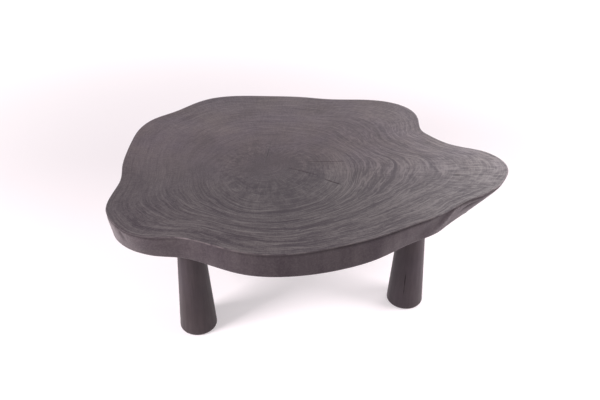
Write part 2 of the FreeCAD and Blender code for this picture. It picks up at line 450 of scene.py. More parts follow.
@dataclass(frozen=True)
class SliceFinish:
    """Stained end grain: growth rings, rays across them, and long fibres down the live edge.

    The pair of a pattern gives its waves along the rings and its bands across them. A contrast
    is the range of a pattern that is kept, and a tone says how much lighter it makes the wood.
    """

    stain: StainedWood = StainedWood()
    wander_scale: float = 9.0
    wander: float = 0.020
    grain: Pair = (5.5, 36.0)
    dark_arcs: Pair = (2.6, 34.0)
    lines: Pair = (11.5, 96.0)
    threads: Pair = (4.5, 44.0)
    dashes: Pair = (55.0, 170.0)
    rays: Pair = (80.0, 24.0)
    smudges: Pair = (11.0, 24.0)
    mottle_scale: float = 260.0
    arc_contrast: Pair = (0.53, 0.64)
    line_contrast: Pair = (0.34, 0.66)
    smudge_contrast: Pair = (0.32, 0.68)
    fine_contrast: Pair = (0.3, 0.7)
    thread_width: Pair = (0.040, 0.010)
    base_tone: float = 0.16
    outer_tone: float = 0.28
    streak_tone: float = 0.08
    band_tone: float = 0.07
    arc_tone: float = -0.24
    thread_tone: float = 0.32
    line_tone: float = 0.16
    dash_tone: float = 0.18
    pore_tone: float = -0.09
    ray_tone: float = 0.15
    smudge_tone: float = 0.21
    mottle_tone: float = 0.16
    flare_tone: float = 0.18
    arc_height: float = -0.25
    ray_height: float = 0.15
    lively_angle: float = math.radians(-65.0)
    lively_bold: Ramp = (-0.4, 0.95, 0.45, 1.85)
    lively_fine: Ramp = (-0.8, 0.8, 0.65, 1.35)
    # Painted shade: the top darkens towards the front left.
    painted_shade_angle: float = math.radians(-115.0)
    painted_shade_tone: Ramp = (0.1, 0.9, 0.0, -0.11)
    calm_angle: float = math.radians(-176.0)
    calm_side: Ramp = (0.6, 0.98, 1.0, 0.6)
    calm_heart: Ramp = (0.10, 0.62, 0.2, 1.0)
    calm_tail: Ramp = (0.0, 1.0, 1.0, 0.4)
    outer_rings: Ramp = (0.02, 0.56, 0.25, 1.0)
    heart_start: Pair = (0.08, 0.24)
    heart_end: Ramp = (0.26, 0.56, 1.0, 0.0)
    plain_rays: float = 0.7
    tail_rays: float = 2.8
    heart_rays: Ramp = (0.05, 0.45, 0.6, 0.0)
    edge_fibres: Triple = (22.0, 22.0, 5.0)
    edge_tone: float = 0.31
    fibre_tone: float = 0.15
    edge_highlight_tone: float = 0.22
    scuff_and_highlight_scale: float = 190.0
    scuff_and_highlight_tone: Ramp = (0.35, 0.75, -0.06, 0.25)
    scuff_and_highlight_height: float = 0.2
    knot_size: Pair = (14 * MM, 9 * MM)
    knot_darkness: float = 0.55
    spot_edge: Pair = (1.0, 0.2)
    grey_centre: Triple = (-0.04, -0.22, 0.4)
    grey_size: Pair = (0.36, 0.24)
    grey_front: Ramp = (0.20, -0.22, 0.05, 0.85)
    grey_edge: float = 0.85

    def spot(self, bench: MaterialBench, centre: Vector | Triple, size: Pair) -> Socket:
        """A soft oval mask on the top."""
        place = bench.object_place(centre=centre, scale=(1 / size[0], 1 / size[1], 0))
        return bench.remap(bench.measure("LENGTH", place), *self.spot_edge)

    def top_grain(
        self, bench: MaterialBench, effects: SharedEffects, pith: Vector
    ) -> tuple[Socket, Socket]:
        """The tone and the relief of the end grain.

        Args:
            bench: The material.
            effects: The shared node groups.
            pith: The centre of the growth rings.

        Returns:
            The tone and the height.
        """
        about_pith = bench.vector("MULTIPLY", bench.object_place(centre=pith), (1, 1, 0))
        direction = bench.vector("NORMALIZE", about_pith)
        wander = bench.noise(about_pith, self.wander_scale, detail=1.5)
        ring = bench.total(bench.attribute("ring"), bench.swing(wander, self.wander))
        tail = bench.attribute("hatch")

        def ring_place(along: Socket, size: Pair) -> Socket:
            """Coordinates that run slowly along the rings and fast across them."""
            slow = bench.vector("MULTIPLY", along, (size[0],) * 3)
            return bench.vector("ADD", slow, bench.join(0.0, 0.0, bench.product(ring, size[1])))

        def ring_noise(size: Pair, detail: float = 2.0) -> Socket:
            """Noise drawn out along the rings."""
            return bench.noise(ring_place(about_pith, size), 1.0, detail, roughness=0.55)

        def ray_noise(size: Pair) -> Socket:
            """Noise drawn out away from the pith."""
            return bench.noise(ring_place(direction, size), 1.0, detail=3.0, roughness=0.6)

        def facing(angle: float) -> Socket:
            """How far a place lies in one direction from the pith, from -1 to 1."""
            return bench.measure("DOT_PRODUCT", direction, (math.cos(angle), math.sin(angle), 0.0))

        def toned(pattern: Socket, contrast: Pair, amount: float) -> Socket:
            """A pattern with more contrast, as a tone that swings by an amount each way."""
            return bench.swing(bench.remap(pattern, *contrast), amount)

        rings = bench.group(effects.grain, Vector=ring_place(about_pith, self.grain), Density=1.0)
        dark_arcs = bench.remap(ring_noise(self.dark_arcs), *self.arc_contrast)
        from_thread = bench.math("ABSOLUTE", bench.minus(ring_noise(self.threads, 1.0), 0.5))
        threads = bench.remap(from_thread, *self.thread_width)
        rays, smudges = ray_noise(self.rays), ray_noise(self.smudges)
        mottle = bench.noise(about_pith, self.mottle_scale, roughness=0.6)
        broad = bench.total(
            bench.swing(rings["Streak"], self.streak_tone),
            bench.swing(bench.attribute("band"), self.band_tone),
            bench.product(dark_arcs, self.arc_tone),
            bench.product(threads, self.thread_tone),
        )
        narrow = bench.total(
            toned(ring_noise(self.lines), self.line_contrast, self.line_tone),
            toned(ring_noise(self.dashes), self.fine_contrast, self.dash_tone),
            bench.product(rings["Pore"], self.pore_tone),
        )

        calm = bench.product(
            bench.remap(ring, *self.calm_heart),
            bench.remap(tail, *self.calm_tail),
            bench.remap(facing(self.calm_angle), *self.calm_side),
        )
        lively = facing(self.lively_angle)
        heart = bench.product(bench.remap(ring, *self.heart_start), bench.remap(ring, *self.heart_end))
        hatch = bench.total(
            self.plain_rays, bench.product(tail, self.tail_rays), bench.remap(ring, *self.heart_rays)
        )
        tone = bench.total(
            self.base_tone,
            bench.product(bench.remap(ring, *self.outer_rings), self.outer_tone),
            # painted shade towards the front left
            bench.remap(facing(self.painted_shade_angle), *self.painted_shade_tone),
            bench.product(broad, bench.product(bench.remap(lively, *self.lively_bold), calm)),
            bench.product(narrow, bench.product(bench.remap(lively, *self.lively_fine), calm)),
            bench.product(toned(rays, self.fine_contrast, self.ray_tone), hatch),
            bench.product(toned(smudges, self.smudge_contrast, self.smudge_tone), heart),
            toned(mottle, self.fine_contrast, self.mottle_tone),
            bench.product(bench.attribute("flare"), self.flare_tone),
        )
        height = bench.total(
            rings["Height"],
            bench.product(dark_arcs, self.arc_height),
            bench.swing(rays, self.ray_height),
        )
        return tone, height

    def edge_grain(
        self, bench: MaterialBench, effects: SharedEffects, place: Socket
    ) -> tuple[Socket, Socket]:
        """The tone and the relief of the live edge.

        Args:
            bench: The material.
            effects: The shared node groups.
            place: Object coordinates.

        Returns:
            The tone and the height.
        """
        fibre_place = bench.vector("MULTIPLY", place, self.edge_fibres)
        fibres = bench.group(effects.grain, Vector=fibre_place, Density=1.0)
        scuffs = bench.noise(place, self.scuff_and_highlight_scale, detail=3.0, roughness=0.65)
        tone = bench.total(
            self.edge_tone,
            bench.swing(fibres["Streak"], self.fibre_tone),
            # The scuff mask also carries the painted highlight on the ridge beside the tail's fold.
            bench.product(bench.remap(scuffs, *self.scuff_and_highlight_tone), bench.attribute("scuff_and_highlight")),
            # On the side, the flare mask is a painted highlight on the left end.
            bench.product(bench.attribute("flare"), self.edge_highlight_tone),
        )
        return tone, bench.total(fibres["Height"], bench.swing(scuffs, self.scuff_and_highlight_height))

    def material(self, effects: SharedEffects, pith: Vector, knot: Vector) -> bpy.types.Material:
        """Makes the slice's material.

        Args:
            effects: The shared node groups.
            pith: The centre of the growth rings.
            knot: The centre of the small knot in the tail.

        Returns:
            The material.
        """
        bench = self.stain.start("stained_slice")
        place = bench.object_place()
        top_tone, top_height = self.top_grain(bench, effects, pith)
        edge_tone, edge_height = self.edge_grain(bench, effects, place)
        side = bench.attribute("side")
        top = bench.minus(1.0, side)
        tone = bench.between(side, top_tone, edge_tone)
        height = bench.between(side, top_height, edge_height)
        knot_spot = self.spot(bench, knot, self.knot_size)
        knot_mask = bench.product(knot_spot, bench.product(top, self.knot_darkness))
        # The hollow mask holds painted shade in the edge's hollows and in the cracks, and the dark
        # crotch line; the knot's own dark colour is added here.
        hollow = bench.math("MAXIMUM", bench.attribute("hollow"), knot_mask)
        grey_patch = bench.product(self.spot(bench, self.grey_centre, self.grey_size), top)
        grey_front = bench.remap(bench.split(place)[1], *self.grey_front)
        grey = bench.between(side, bench.between(grey_patch, grey_front, 1.0), self.grey_edge)
        return self.stain.finish(bench, effects, tone, place, hollow, height, grey)


@dataclass(frozen=True)
class LegFinish:
    """Stained long grain that runs up a turned leg."""

    stain: StainedWood = StainedWood(dark=(0.022, 0.0160, 0.0185), light=(0.067, 0.0495, 0.0560))
    fibres: Triple = (95.0, 95.0, 3.2)
    base_tone: float = 0.40
    streak_tone: float = 0.14
    pore_tone: float = -0.08
    grey: float = 0.15

    def material(self, effects: SharedEffects) -> bpy.types.Material:
        """Makes the legs' material.

        Args:
            effects: The shared node groups.

        Returns:
            The material.
        """
        bench = self.stain.start("stained_leg")
        place = bench.object_place()
        fibre_place = bench.vector("MULTIPLY", place, self.fibres)
        fibres = bench.group(effects.grain, Vector=fibre_place, Density=1.0)
        tone = bench.total(
            self.base_tone,
            bench.swing(fibres["Streak"], self.streak_tone),
            bench.product(fibres["Pore"], self.pore_tone),
        )
        # Painted shade in the crack and at the foot.
        hollow = bench.attribute("hollow")
        return self.stain.finish(bench, effects, tone, place, hollow, fibres["Height"], self.grey)


@dataclass(frozen=True)
class ZincSteel:
    """Zinc plated steel, a little cloudy and scratched."""

    bright: Colour = (0.66, 0.67, 0.69)
    dull: Colour = (0.47, 0.48, 0.49)
    metallic: float = 1.0
    cloud_scale: float = 160.0
    scratch_scale: Triple = (900, 120, 900)
    scratch_depth: float = 0.05 * MM
    roughness: Ramp = (0.0, 1.0, 0.30, 0.46)

    def material(self, effects: SharedEffects) -> bpy.types.Material:
        """Makes the fixings' material.

        Args:
            effects: The shared node groups.

        Returns:
            The material.
        """
        bench = MaterialBench("zinc_steel", Metallic=self.metallic)
        place = bench.object_place()
        clouds = bench.group(effects.clouds, Vector=place, Scale=self.cloud_scale)
        bench.set(
            Base_Color=bench.blend(clouds["Tone"], self.dull, self.bright),
            Roughness=bench.remap(clouds["Tint"], *self.roughness),
        )
        scratch_place = bench.vector("MULTIPLY", place, self.scratch_scale)
        bench.bump(bench.noise(scratch_place, 1.0, detail=3.0), self.scratch_depth)
        return bench.material


@dataclass(frozen=True)
class MouldedNylon:
    """Black nylon with a fine moulded grain."""

    colour: Colour = (0.026, 0.026, 0.028)
    scuffed: Colour = (0.055, 0.054, 0.055)
    specular: float = 0.45
    cloud_scale: float = 240.0
    grain_scale: float = 2600.0
    grain_depth: float = 0.06 * MM
    roughness: Ramp = (0.3, 0.7, 0.48, 0.62)

    def material(self, effects: SharedEffects) -> bpy.types.Material:
        """Makes the glide cups' material.

        Args:
            effects: The shared node groups.

        Returns:
            The material.
        """
        bench = MaterialBench("moulded_nylon", Specular_IOR_Level=self.specular)
        place = bench.object_place()
        clouds = bench.group(effects.clouds, Vector=place, Scale=self.cloud_scale)
        grain = bench.noise(place, self.grain_scale)
        bench.set(
            Base_Color=bench.blend(clouds["Tone"], self.colour, self.scuffed),
            Roughness=bench.remap(grain, *self.roughness),
        )
        bench.bump(grain, self.grain_depth)
        return bench.material


@dataclass(frozen=True)
class WoolFelt:
    """Grey pressed felt of mixed fibres."""

    pale: Colour = (0.230, 0.222, 0.212)
    deep: Colour = (0.095, 0.092, 0.090)
    roughness: float = 0.92
    sheen: float = 0.35
    specular: float = 0.2
    cloud_scale: float = 420.0
    fibre_scale: float = 1900.0
    fibre_depth: float = 0.25 * MM

    def material(self, effects: SharedEffects) -> bpy.types.Material:
        """Makes the felt's material.

        Args:
            effects: The shared node groups.

        Returns:
            The material.
        """
        bench = MaterialBench(
            "wool_felt",
            Roughness=self.roughness,
            Sheen_Weight=self.sheen,
            Specular_IOR_Level=self.specular,
        )
        place = bench.object_place()
        clouds = bench.group(effects.clouds, Vector=place, Scale=self.cloud_scale)
        fibres = bench.noise(place, self.fibre_scale, detail=4.0, roughness=0.7)
        tone = bench.product(bench.total(clouds["Tone"], fibres), 0.5)
        bench.set(Base_Color=bench.blend(tone, self.deep, self.pale))
        bench.bump(fibres, self.fibre_depth)
        return bench.material


def new_piece(name: str, mesh: bpy.types.Mesh) -> bpy.types.Object:
    """Puts a mesh into the scene as an object at the origin.

    Args:
        name: The piece's name.
        mesh: Its mesh, already in place.

    Returns:
        The object.
    """
    piece = bpy.data.objects.new(name, mesh)
    bpy.context.scene.collection.objects.link(piece)
    return piece


def stand_for(piece: bpy.types.Object, node: str) -> None:
    """Puts a piece on the body, in its solid's place.

    Args:
        piece: The piece.
        node: The solid that it replaces.
    """
    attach(piece, BODY)
    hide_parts(node)


def bake_modifiers(piece: bpy.types.Object) -> None:
    """Turns a piece's modifiers into a plain mesh.

    Args:
        piece: The object, which has no modifier afterwards.
    """
    bpy.context.view_layer.update()
    graph = bpy.context.evaluated_depsgraph_get()
    evaluated = piece.evaluated_get(graph)
    mesh = bpy.data.meshes.new_from_object(evaluated, preserve_all_data_layers=True, depsgraph=graph)
    piece.modifiers.clear()
    plain = piece.data
    piece.data = mesh
    bpy.data.meshes.remove(plain)


def apply_tree(piece: bpy.types.Object, tree: bpy.types.NodeTree, **values: Any) -> None:
    """Runs a geometry node tree on a piece and keeps its result as a plain mesh.

    Args:
        piece: The object whose mesh the tree starts from.
        tree: The geometry nodes.
        values: The tree's inputs, named with underscores for spaces.
    """
    modifier = piece.modifiers.new(tree.name, "NODES")
    modifier.node_group = tree
    for item in tree.interface.items_tree:
        key = item.name.replace(" ", "_")
        if item.in_out == "INPUT" and key in values:
            modifier[item.identifier] = values[key]
    bake_modifiers(piece)


def set_numbers(mesh: bpy.types.Mesh, name: str, values: np.ndarray) -> None:
    """Stores a number for each vertex of a mesh, which its material reads."""
    layer = mesh.attributes.get(name) or mesh.attributes.new(name, "FLOAT", "POINT")
    layer.data.foreach_set("value", values.astype(np.float32))


def vertex_places(mesh: bpy.types.Mesh) -> np.ndarray:
    """Reads the places of a mesh's vertices.

    Args:
        mesh: The mesh.

    Returns:
        The places, one row each.
    """
    places = np.empty(len(mesh.vertices) * 3, np.float32)
    mesh.vertices.foreach_get("co", places)
    return places.reshape(-1, 3).astype(float)


def ease(low: float, high: float, value: np.ndarray) -> np.ndarray:
    """A smooth step from 0 at low to 1 at high."""
    share = np.clip((value - low) / (high - low), 0.0, 1.0)
    return share * share * (3 - 2 * share)


def hump(value: np.ndarray, centre: float, half_width: float) -> np.ndarray:
    """A bell of height 1 about a centre."""
    return np.exp(-(((value - centre) / half_width) ** 2))


def wrapped(angle: np.ndarray) -> np.ndarray:
    """Angles brought between minus half a turn and half a turn."""
    return np.angle(np.exp(1j * angle))


def perlin(places: np.ndarray) -> np.ndarray:
    """Fractal noise of about -1 to 1 at each of many places."""
    roughness, spacing, octaves = 0.9, 2.1, 3
    return np.array([noise.fractal(Vector(place), roughness, spacing, octaves) for place in places])


def node_tree(node: str) -> BVHTree:
    """Makes a solid of the frame ready for casting rays at it.

    Args:
        node: The solid's name.

    Returns:
        The tree of its faces.
    """
    mesh = frame["nodes"][node].data
    corners = [vertex.co.copy() for vertex in mesh.vertices]
    return BVHTree.FromPolygons(corners, [tuple(face.vertices) for face in mesh.polygons])


def axis_of(node: str) -> Vector:
    """Finds where a piece stands.

    Args:
        node: The solid's name.

    Returns:
        The middle of its box, on the floor.
    """
    low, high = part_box(node)
    middle = (low + high) / 2
    return Vector((middle.x, middle.y, 0))


def half_width(node: str) -> float:
    """Half of a node's width along X."""
    low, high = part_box(node)
    return (high.x - low.x) / 2


@dataclass(frozen=True)
class Bell:
    """A smooth rise and fall along a measure: where it peaks, how wide it is and how high."""

    middle: float
    spread: float
    height: float = 1.0

    def at(self, value: np.ndarray) -> np.ndarray:
        """The bell's height at each value of the measure."""
        return self.height * hump(value, self.middle, self.spread)


@dataclass(frozen=True)
class Patch:
    """A soft oval on the top: its centre from the pith and its half widths."""

    centre: Pair
    size: Pair

    def at(self, x: np.ndarray, y: np.ndarray) -> np.ndarray:
        """How far each place lies in the patch, from 0 to 1."""
        return hump(x, self.centre[0], self.size[0]) * hump(y, self.centre[1], self.size[1])


@dataclass(frozen=True)
class EdgeMark:
    """A dent in the live edge, about a line that slopes from one direction to the next.

    Directions are in degrees, and places on the edge are shares of the way down.
    """

    direction: float
    spread: float
    share: float
    share_spread: float
    slope: float
    depth: float
    # How much painted shade darkens the dent.
    darkness: float

    def at(self, degrees: np.ndarray, share: np.ndarray) -> np.ndarray:
        """How deep the dent is at each place, from 0 to 1."""
        line = self.share + self.slope * (degrees - self.direction)
        return hump(share, line, self.share_spread) * hump(degrees, self.direction, self.spread)


@dataclass(frozen=True)
class RadialCheck:
    """A drying crack that opens along the radius of the slice.

    Its path gives distances from the pith, and directions in degrees.
    """

    path: tuple[Pair, ...]
    width: float
    depth: float
    # How much painted shade darkens the crack.
    darkness: float
    taper: float = 0.3

    @property
    def middle(self) -> float:
        """The crack's direction halfway along it, in radians."""
        return math.radians(self.path[1][1])

    def direction(self, radius: np.ndarray) -> np.ndarray:
        """The crack's direction at each distance from the pith, in radians."""
        distances, degrees = zip(*self.path)
        return np.interp(radius, distances, np.radians(degrees))

    def opening(self, radius: np.ndarray, angle: np.ndarray) -> np.ndarray:
        """How far the crack is open.

        Args:
            radius: Distances from the pith.
            angle: Directions from the pith.

        Returns:
            The opening at each place, from 0 to 1.
        """
        start, end = self.path[0][0], self.path[-1][0]
        taper = self.taper * (end - start)
        ends = ease(start, start + taper, radius) * (1 - ease(end - taper, end, radius))
        aside = np.abs(wrapped(angle - self.direction(radius))) * radius
        return ends * np.clip(1 - aside / self.width, 0, 1)


@dataclass
class SliceTop:
    """The tree slice: growth rings and drying cracks, a hollowed live edge, pockets underneath.

    Bells and marks round the slice are in degrees from +X about the pith. A swell gives its
    direction and half width in degrees, and how far it moves the top and the foot of the edge.
    A ring wave gives its count, amount, phase and drift from ring to ring.
    """

    node: str = "slab_top"
    slot: str = "stained_wood_top"
    mount: str = "table_top"
    meridians: int = 640
    max_halvings: int = 5
    ring_step: float = 0.0072
    arc_step: float = 2.6 * MM
    underside_step: float = 10 * MM
    underside_rows: int = 30
    side_rows: int = 18
    side_crowding: float = 1.5
    rim_rows: int = 5
    arris_round: float = 1.8 * MM
    arris_cast: float = 4.2 * MM
    lower_round: float = 5.0 * MM
    sharp_angle: float = math.radians(50)
    outline_samples: int = 1440
    cast_reach: float = 2.0
    density_samples: int = 7200
    tail_density: Bell = Bell(-17.0, 12.0, 0.9)
    crack_density: float = 2.6
    crack_spread: float = math.radians(2.5)
    crack_bend: float = math.radians(9)
    crack_stride: int = 8
    crack_pull: float = 14.0
    heartwood_radius: float = 0.47
    follow: Pair = (0.42, 0.95)
    rim_fade: int = 6
    ring_drift: Pair = (28 * MM, -40 * MM)
    drift_rings: Bell = Bell(0.42, 0.20)
    still_rings: Bell = Bell(0.0, 0.08)
    crotch_pinch: Bell = Bell(33.0, 17.0, 0.075)
    crotch_rings: Bell = Bell(0.68, 0.18)
    bulge: Bell = Bell(-28.0, 18.0, 0.045)
    bulge_rings: Bell = Bell(0.62, 0.16)
    ring_halvings: int = 24
    ring_waves: tuple[tuple[int, float, float, float], ...] = (
        (2, 0.016, 0.6, 1.5),
        (3, 0.013, 2.1, -2.4),
        (5, 0.007, 4.0, 3.1),
        (9, 0.003, 1.0, 9.0),
    )
    swells: tuple[tuple[float, float, float, float], ...] = (
        (172.0, 26.0, 5.0 * MM, 3.0 * MM),
        (-156.0, 10.0, 2.5 * MM, 0.5 * MM),
        (-171.0, 9.0, 0.0, -7.0 * MM),
        (-143.0, 8.0, 0.0, 4.0 * MM),
        (0.0, 7.0, 3.5 * MM, 2.0 * MM),
        (70.0, 35.0, 1.5 * MM, 1.5 * MM),
        (-14.3, 4.2, 0.0, -6.0 * MM),
        (-14.2, 1.8, 0.0, -5.0 * MM),
        (-21.8, 2.6, 0.0, -2.0 * MM),
        (-12.2, 2.6, -5.0 * MM, 1.0 * MM),
        (-8.2, 2.2, 2.0 * MM, 2.5 * MM),
        (13.2, 2.0, -1.5 * MM, -1.5 * MM),
        (19.4, 2.4, 2.8 * MM, 2.5 * MM),
        (32.5, 4.5, 2.0 * MM, 2.0 * MM),
    )
    checks: tuple[RadialCheck, ...] = (
        RadialCheck(((0.006, 112.0), (0.062, 90.5), (0.155, 85.5)), 1.4 * MM, 2.0 * MM, 0.60),
        RadialCheck(((0.055, -9.0), (0.120, -15.5), (0.186, -20.0)), 1.4 * MM, 2.4 * MM, 0.58),
        RadialCheck(((0.190, -22.3), (0.225, -23.6), (0.258, -24.3)), 2.0 * MM, 4.0 * MM, 0.85),
        RadialCheck(((0.085, 17.4), (0.165, 8.9), (0.268, 5.5)), 1.1 * MM, 1.8 * MM, 0.62),
    )
    check_fill: Pair = (0.0, 0.8)
    relief: float = 0.35 * MM
    level_rim: Pair = (0.95, 1.0)
    level_gap: float = 0.01 * MM
    band_waves: Pair = (4.0, 27.0)
    band_share: Pair = (0.62, 0.38)
    band_angle: float = math.radians(-70)
    band_strength: float = 0.62
    knot_reach: float = 0.596
    knot_angle: float = math.radians(-4.8)
    knot_dip: Bell = Bell(0.0, 9 * MM, 0.8 * MM)
    uneven_waves: Pair = (4.2, 0.9)
    uneven_depth: float = 1.3 * MM
    uneven_start: Pair = (0.0, 0.12)
    uneven_end: Pair = (0.88, 1.0)
    groove: Bell = Bell(0.055, 0.045)
    groove_depth: float = 2.4 * MM
    cove_base: float = 0.45
    coves: tuple[Bell, ...] = (
        Bell(-30.0, 38.0, 0.55),
        Bell(-140.0, 14.0, 0.35),
        Bell(-113.0, 13.0, -0.40),
    )
    fold_ridge: Pair = (-21.7, -6.5)
    fold_rise: Pair = (-1.0, 1.6)
    fold_fall: Pair = (2.0, 10.0)
    fold_start: Pair = (-0.02, 0.10)
    fold_end: Pair = (0.1, 1.0)
    fold_depth: float = 9.0 * MM
    # Painted shade in the fold.
    fold_darkness: float = 0.35
    # Painted highlight on the ridge beside the fold, given through the scuff mask.
    ridge_highlight: Bell = Bell(-19.5, 1.4, 3.5)
    ridge_highlight_slope: float = -6.4
    edge_marks: tuple[EdgeMark, ...] = (
        EdgeMark(-16.4, 1.9, 0.33316, 0.055, -0.0593, 4.0 * MM, 0.75),
        EdgeMark(-20.7, 1.8, 0.83, 0.06, 0.0, 1.5 * MM, 0.45),
        EdgeMark(-141.4, 1.5, 0.30, 0.20, 0.11, 3.0 * MM, 0.60),
    )
    side_start: float = 0.2 * MM
    hollow_start: Pair = (0.5, 1.6)
    crotch_line: Bell = Bell(0.775, 0.011, 0.32)
    crotch_start: Pair = (4.0, 14.0)
    crotch_end: Pair = (38.0, 50.0)
    rub_line: Pair = (0.4, 0.6)
    rub_rings: Pair = (0.993, 0.999)
    rub_base: float = 0.12
    rub_strength: float = 0.8
    # Where the arris is lighter: rubbed stain with a painted highlight.
    worn_and_lit: tuple[Bell, ...] = (Bell(-118.0, 7.0), Bell(-3.0, 7.0, 0.7), Bell(-106.0, 11.0, 0.6))
    hatch: Patch = Patch((0.65, -0.06), (0.13, 0.12))
    flare: Patch = Patch((0.222, -0.035), (0.032, 0.055))
    # Painted highlight on the left end's side.
    lit_end: tuple[Bell, ...] = (Bell(-148.0, 17.0, 1.1), Bell(-138.5, 2.8, 0.7))
    scuffed_end: Bell = Bell(-152.0, 22.0, 0.8)
    pocket_clearance: float = 0.5 * MM
    pocket_sides: int = 96
    bore_clearance: float = 0.8 * MM
    bore_end_gap: float = 5.0 * MM
    screw_head: float = 4.3 * MM
    screw_sides: int = 24

    def __post_init__(self) -> None:
        """Reads the pith, the heights and the outline from the frame."""
        mounts = {mount["name"]: mount["pos_m"] for mount in frame["record"]["mounts"]}
        self.pith = Vector(mounts[self.mount])
        low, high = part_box(self.node)
        self.floor = low.z
        self.top = high.z
        self.edge_top = self.top - self.arris_round
        self.edge_foot = self.floor + self.lower_round
        self.solid = node_tree(self.node)
        self.outline_angles = np.linspace(0, TURN, self.outline_samples, endpoint=False)
        self.upper_outline = self.cast_outline(self.top - self.arris_cast)

    @property
    def knot(self) -> Vector:
        """The centre of the small knot in the tail."""
        direction = Vector((math.cos(self.knot_angle), math.sin(self.knot_angle), 0))
        return self.pith + direction * self.knot_reach

    def cast_outline(self, height: float) -> np.ndarray:
        """Measures the solid's outline about the pith, and adds the swells.

        Args:
            height: The level of the outline.

        Returns:
            The distance from the pith at each of the outline's angles.
        """
        centre = Vector((self.pith.x, self.pith.y, height))
        reaches = []
        for angle in self.outline_angles:
            outward = Vector((math.cos(angle), math.sin(angle), 0))
            hit = self.solid.ray_cast(centre + outward * self.cast_reach, -outward)[0]
            reaches.append((hit - centre).length)
        outline = np.array(reaches)
        down = (self.top - height) / (self.top - self.floor)
        for middle, spread, upper, lower in self.swells:
            aside = wrapped(self.outline_angles - math.radians(middle))
            outline += (upper + (lower - upper) * down) * hump(aside, 0.0, math.radians(spread))
        return outline

    def reach(self, outline: np.ndarray, angle: np.ndarray) -> np.ndarray:
        """The distance from the pith to an outline, at any angles."""
        return np.interp(angle, self.outline_angles, outline, period=TURN)

    def ring_radius(self, ring: np.ndarray, angle: np.ndarray) -> np.ndarray:
        """The distance of a growth ring from the pith.

        The inner rings are nearly round, the outer ones take the outline, and they pinch in at
        the crotch.

        Args:
            ring: The ring, from 0 at the pith to 1 at the rim of the top.
            angle: The direction from the pith.

        Returns:
            The distances.
        """
        rim = self.reach(self.upper_outline, angle) - self.arris_round
        follow = ease(*self.follow, ring)
        radius = ring * (self.heartwood_radius * (1 - follow) + rim * follow)
        fade = 1 - ring**self.rim_fade
        for count, amount, phase, drift in self.ring_waves:
            radius = radius * (1 + amount * fade * np.sin(count * angle + phase + drift * ring))
        drift = self.drift_rings.at(ring) * (1 - self.still_rings.at(ring))
        east, north = self.ring_drift
        radius = radius + drift * (east * np.cos(angle) + north * np.sin(angle))
        degrees = np.degrees(angle)
        pinch = self.crotch_pinch.at(degrees) * self.crotch_rings.at(ring)
        bulge = self.bulge.at(degrees) * self.bulge_rings.at(ring)
        return radius * (1 + (bulge - pinch) * fade)

    def ring_at(self, radius: np.ndarray, angle: np.ndarray) -> np.ndarray:
        """Finds the growth ring that passes through each place, by halving.

        Args:
            radius: Distances from the pith.
            angle: Directions from the pith.

        Returns:
            The rings, from 0 to 1.
        """
        low = np.zeros_like(radius)
        high = np.ones_like(radius)
        for _ in range(self.ring_halvings):
            middle = (low + high) / 2
            inside = self.ring_radius(middle, angle) < radius
            low = np.where(inside, middle, low)
            high = np.where(inside, high, middle)
        return (low + high) / 2

    def meridian_angles(self) -> np.ndarray:
        """The directions of the mesh's meridians, closer together at the cracks and in the tail.

        Returns:
            The angles, of which some run exactly along a crack.
        """
        angle = np.linspace(-math.pi, math.pi, self.density_samples)
        density = 1.0 + self.tail_density.at(np.degrees(angle))
        for check in self.checks:
            density += self.crack_density * hump(angle, check.middle, self.crack_spread)
        share = np.concatenate(([0.0], np.cumsum((density[1:] + density[:-1]) / 2)))
        order = np.arange(self.meridians)
        angles = np.interp(order / self.meridians, share / share[-1], angle)
        for check in self.checks:
            aside = np.abs(angles[:: self.crack_stride] - check.middle)
            nearest = self.crack_stride * int(np.argmin(aside))
            angles += (check.middle - angles[nearest]) * hump(order, nearest, self.crack_pull)
        return angles

    def bent_angles(self, angles: np.ndarray, radius: float) -> np.ndarray:
        """Bends the meridians along the cracks.

        Args:
            angles: The meridians' directions.
            radius: A distance from the pith.

        Returns:
            Their directions at that distance.
        """
        bent = angles.copy()
        for check in self.checks:
            drift = float(check.direction(np.array(radius))) - check.middle
            bent += drift * hump(angles, check.middle, self.crack_bend)
        return bent

    def stride_at(self, radius: float, step: float) -> int:
        """Which of the meridians a ring of the mesh uses: fewer, by halves, towards the pith."""
        halvings = math.floor(math.log2(max(self.meridians * step / (TURN * radius), 1.0)))
        return 1 << min(halvings, self.max_halvings)

    def edge_relief(self, angle: np.ndarray, share: np.ndarray) -> tuple[np.ndarray, np.ndarray]:
        """The hollows and swellings of the live edge.

        Args:
            angle: The direction from the pith, from minus half a turn to half a turn.
            share: How far down the edge, from 0 under the arris to 1.

        Returns:
            How far each place stands out from the solid, and how much painted shade darkens it.
        """
        degrees = np.degrees(angle)
        waves, waves_down = self.uneven_waves
        places = np.stack([waves * np.cos(angle), waves * np.sin(angle), waves_down * share], axis=-1)
        ends = ease(*self.uneven_start, share) * (1 - ease(*self.uneven_end, share))
        out = self.uneven_depth * perlin(places) * ends

        cove = self.cove_base + sum(bell.at(degrees) for bell in self.coves)
        groove = self.groove.at(share) * cove
        from_ridge = self.fold_ridge[0] + self.fold_ridge[1] * share - degrees
        fold = ease(*self.fold_rise, from_ridge) * (1 - ease(*self.fold_fall, from_ridge))
        fold = fold * ease(*self.fold_start, share) * (1 - ease(*self.fold_end, share))
        # Painted shade: the groove under the arris, the fold and the dents darken.
        out = out - self.groove_depth * groove - self.fold_depth * fold
        dark = groove + self.fold_darkness * fold
        for mark in self.edge_marks:
            out = out - mark.depth * mark.at(degrees, share)
            dark = dark + mark.darkness * mark.at(degrees, share)
        return out, np.clip(dark, 0, 1)

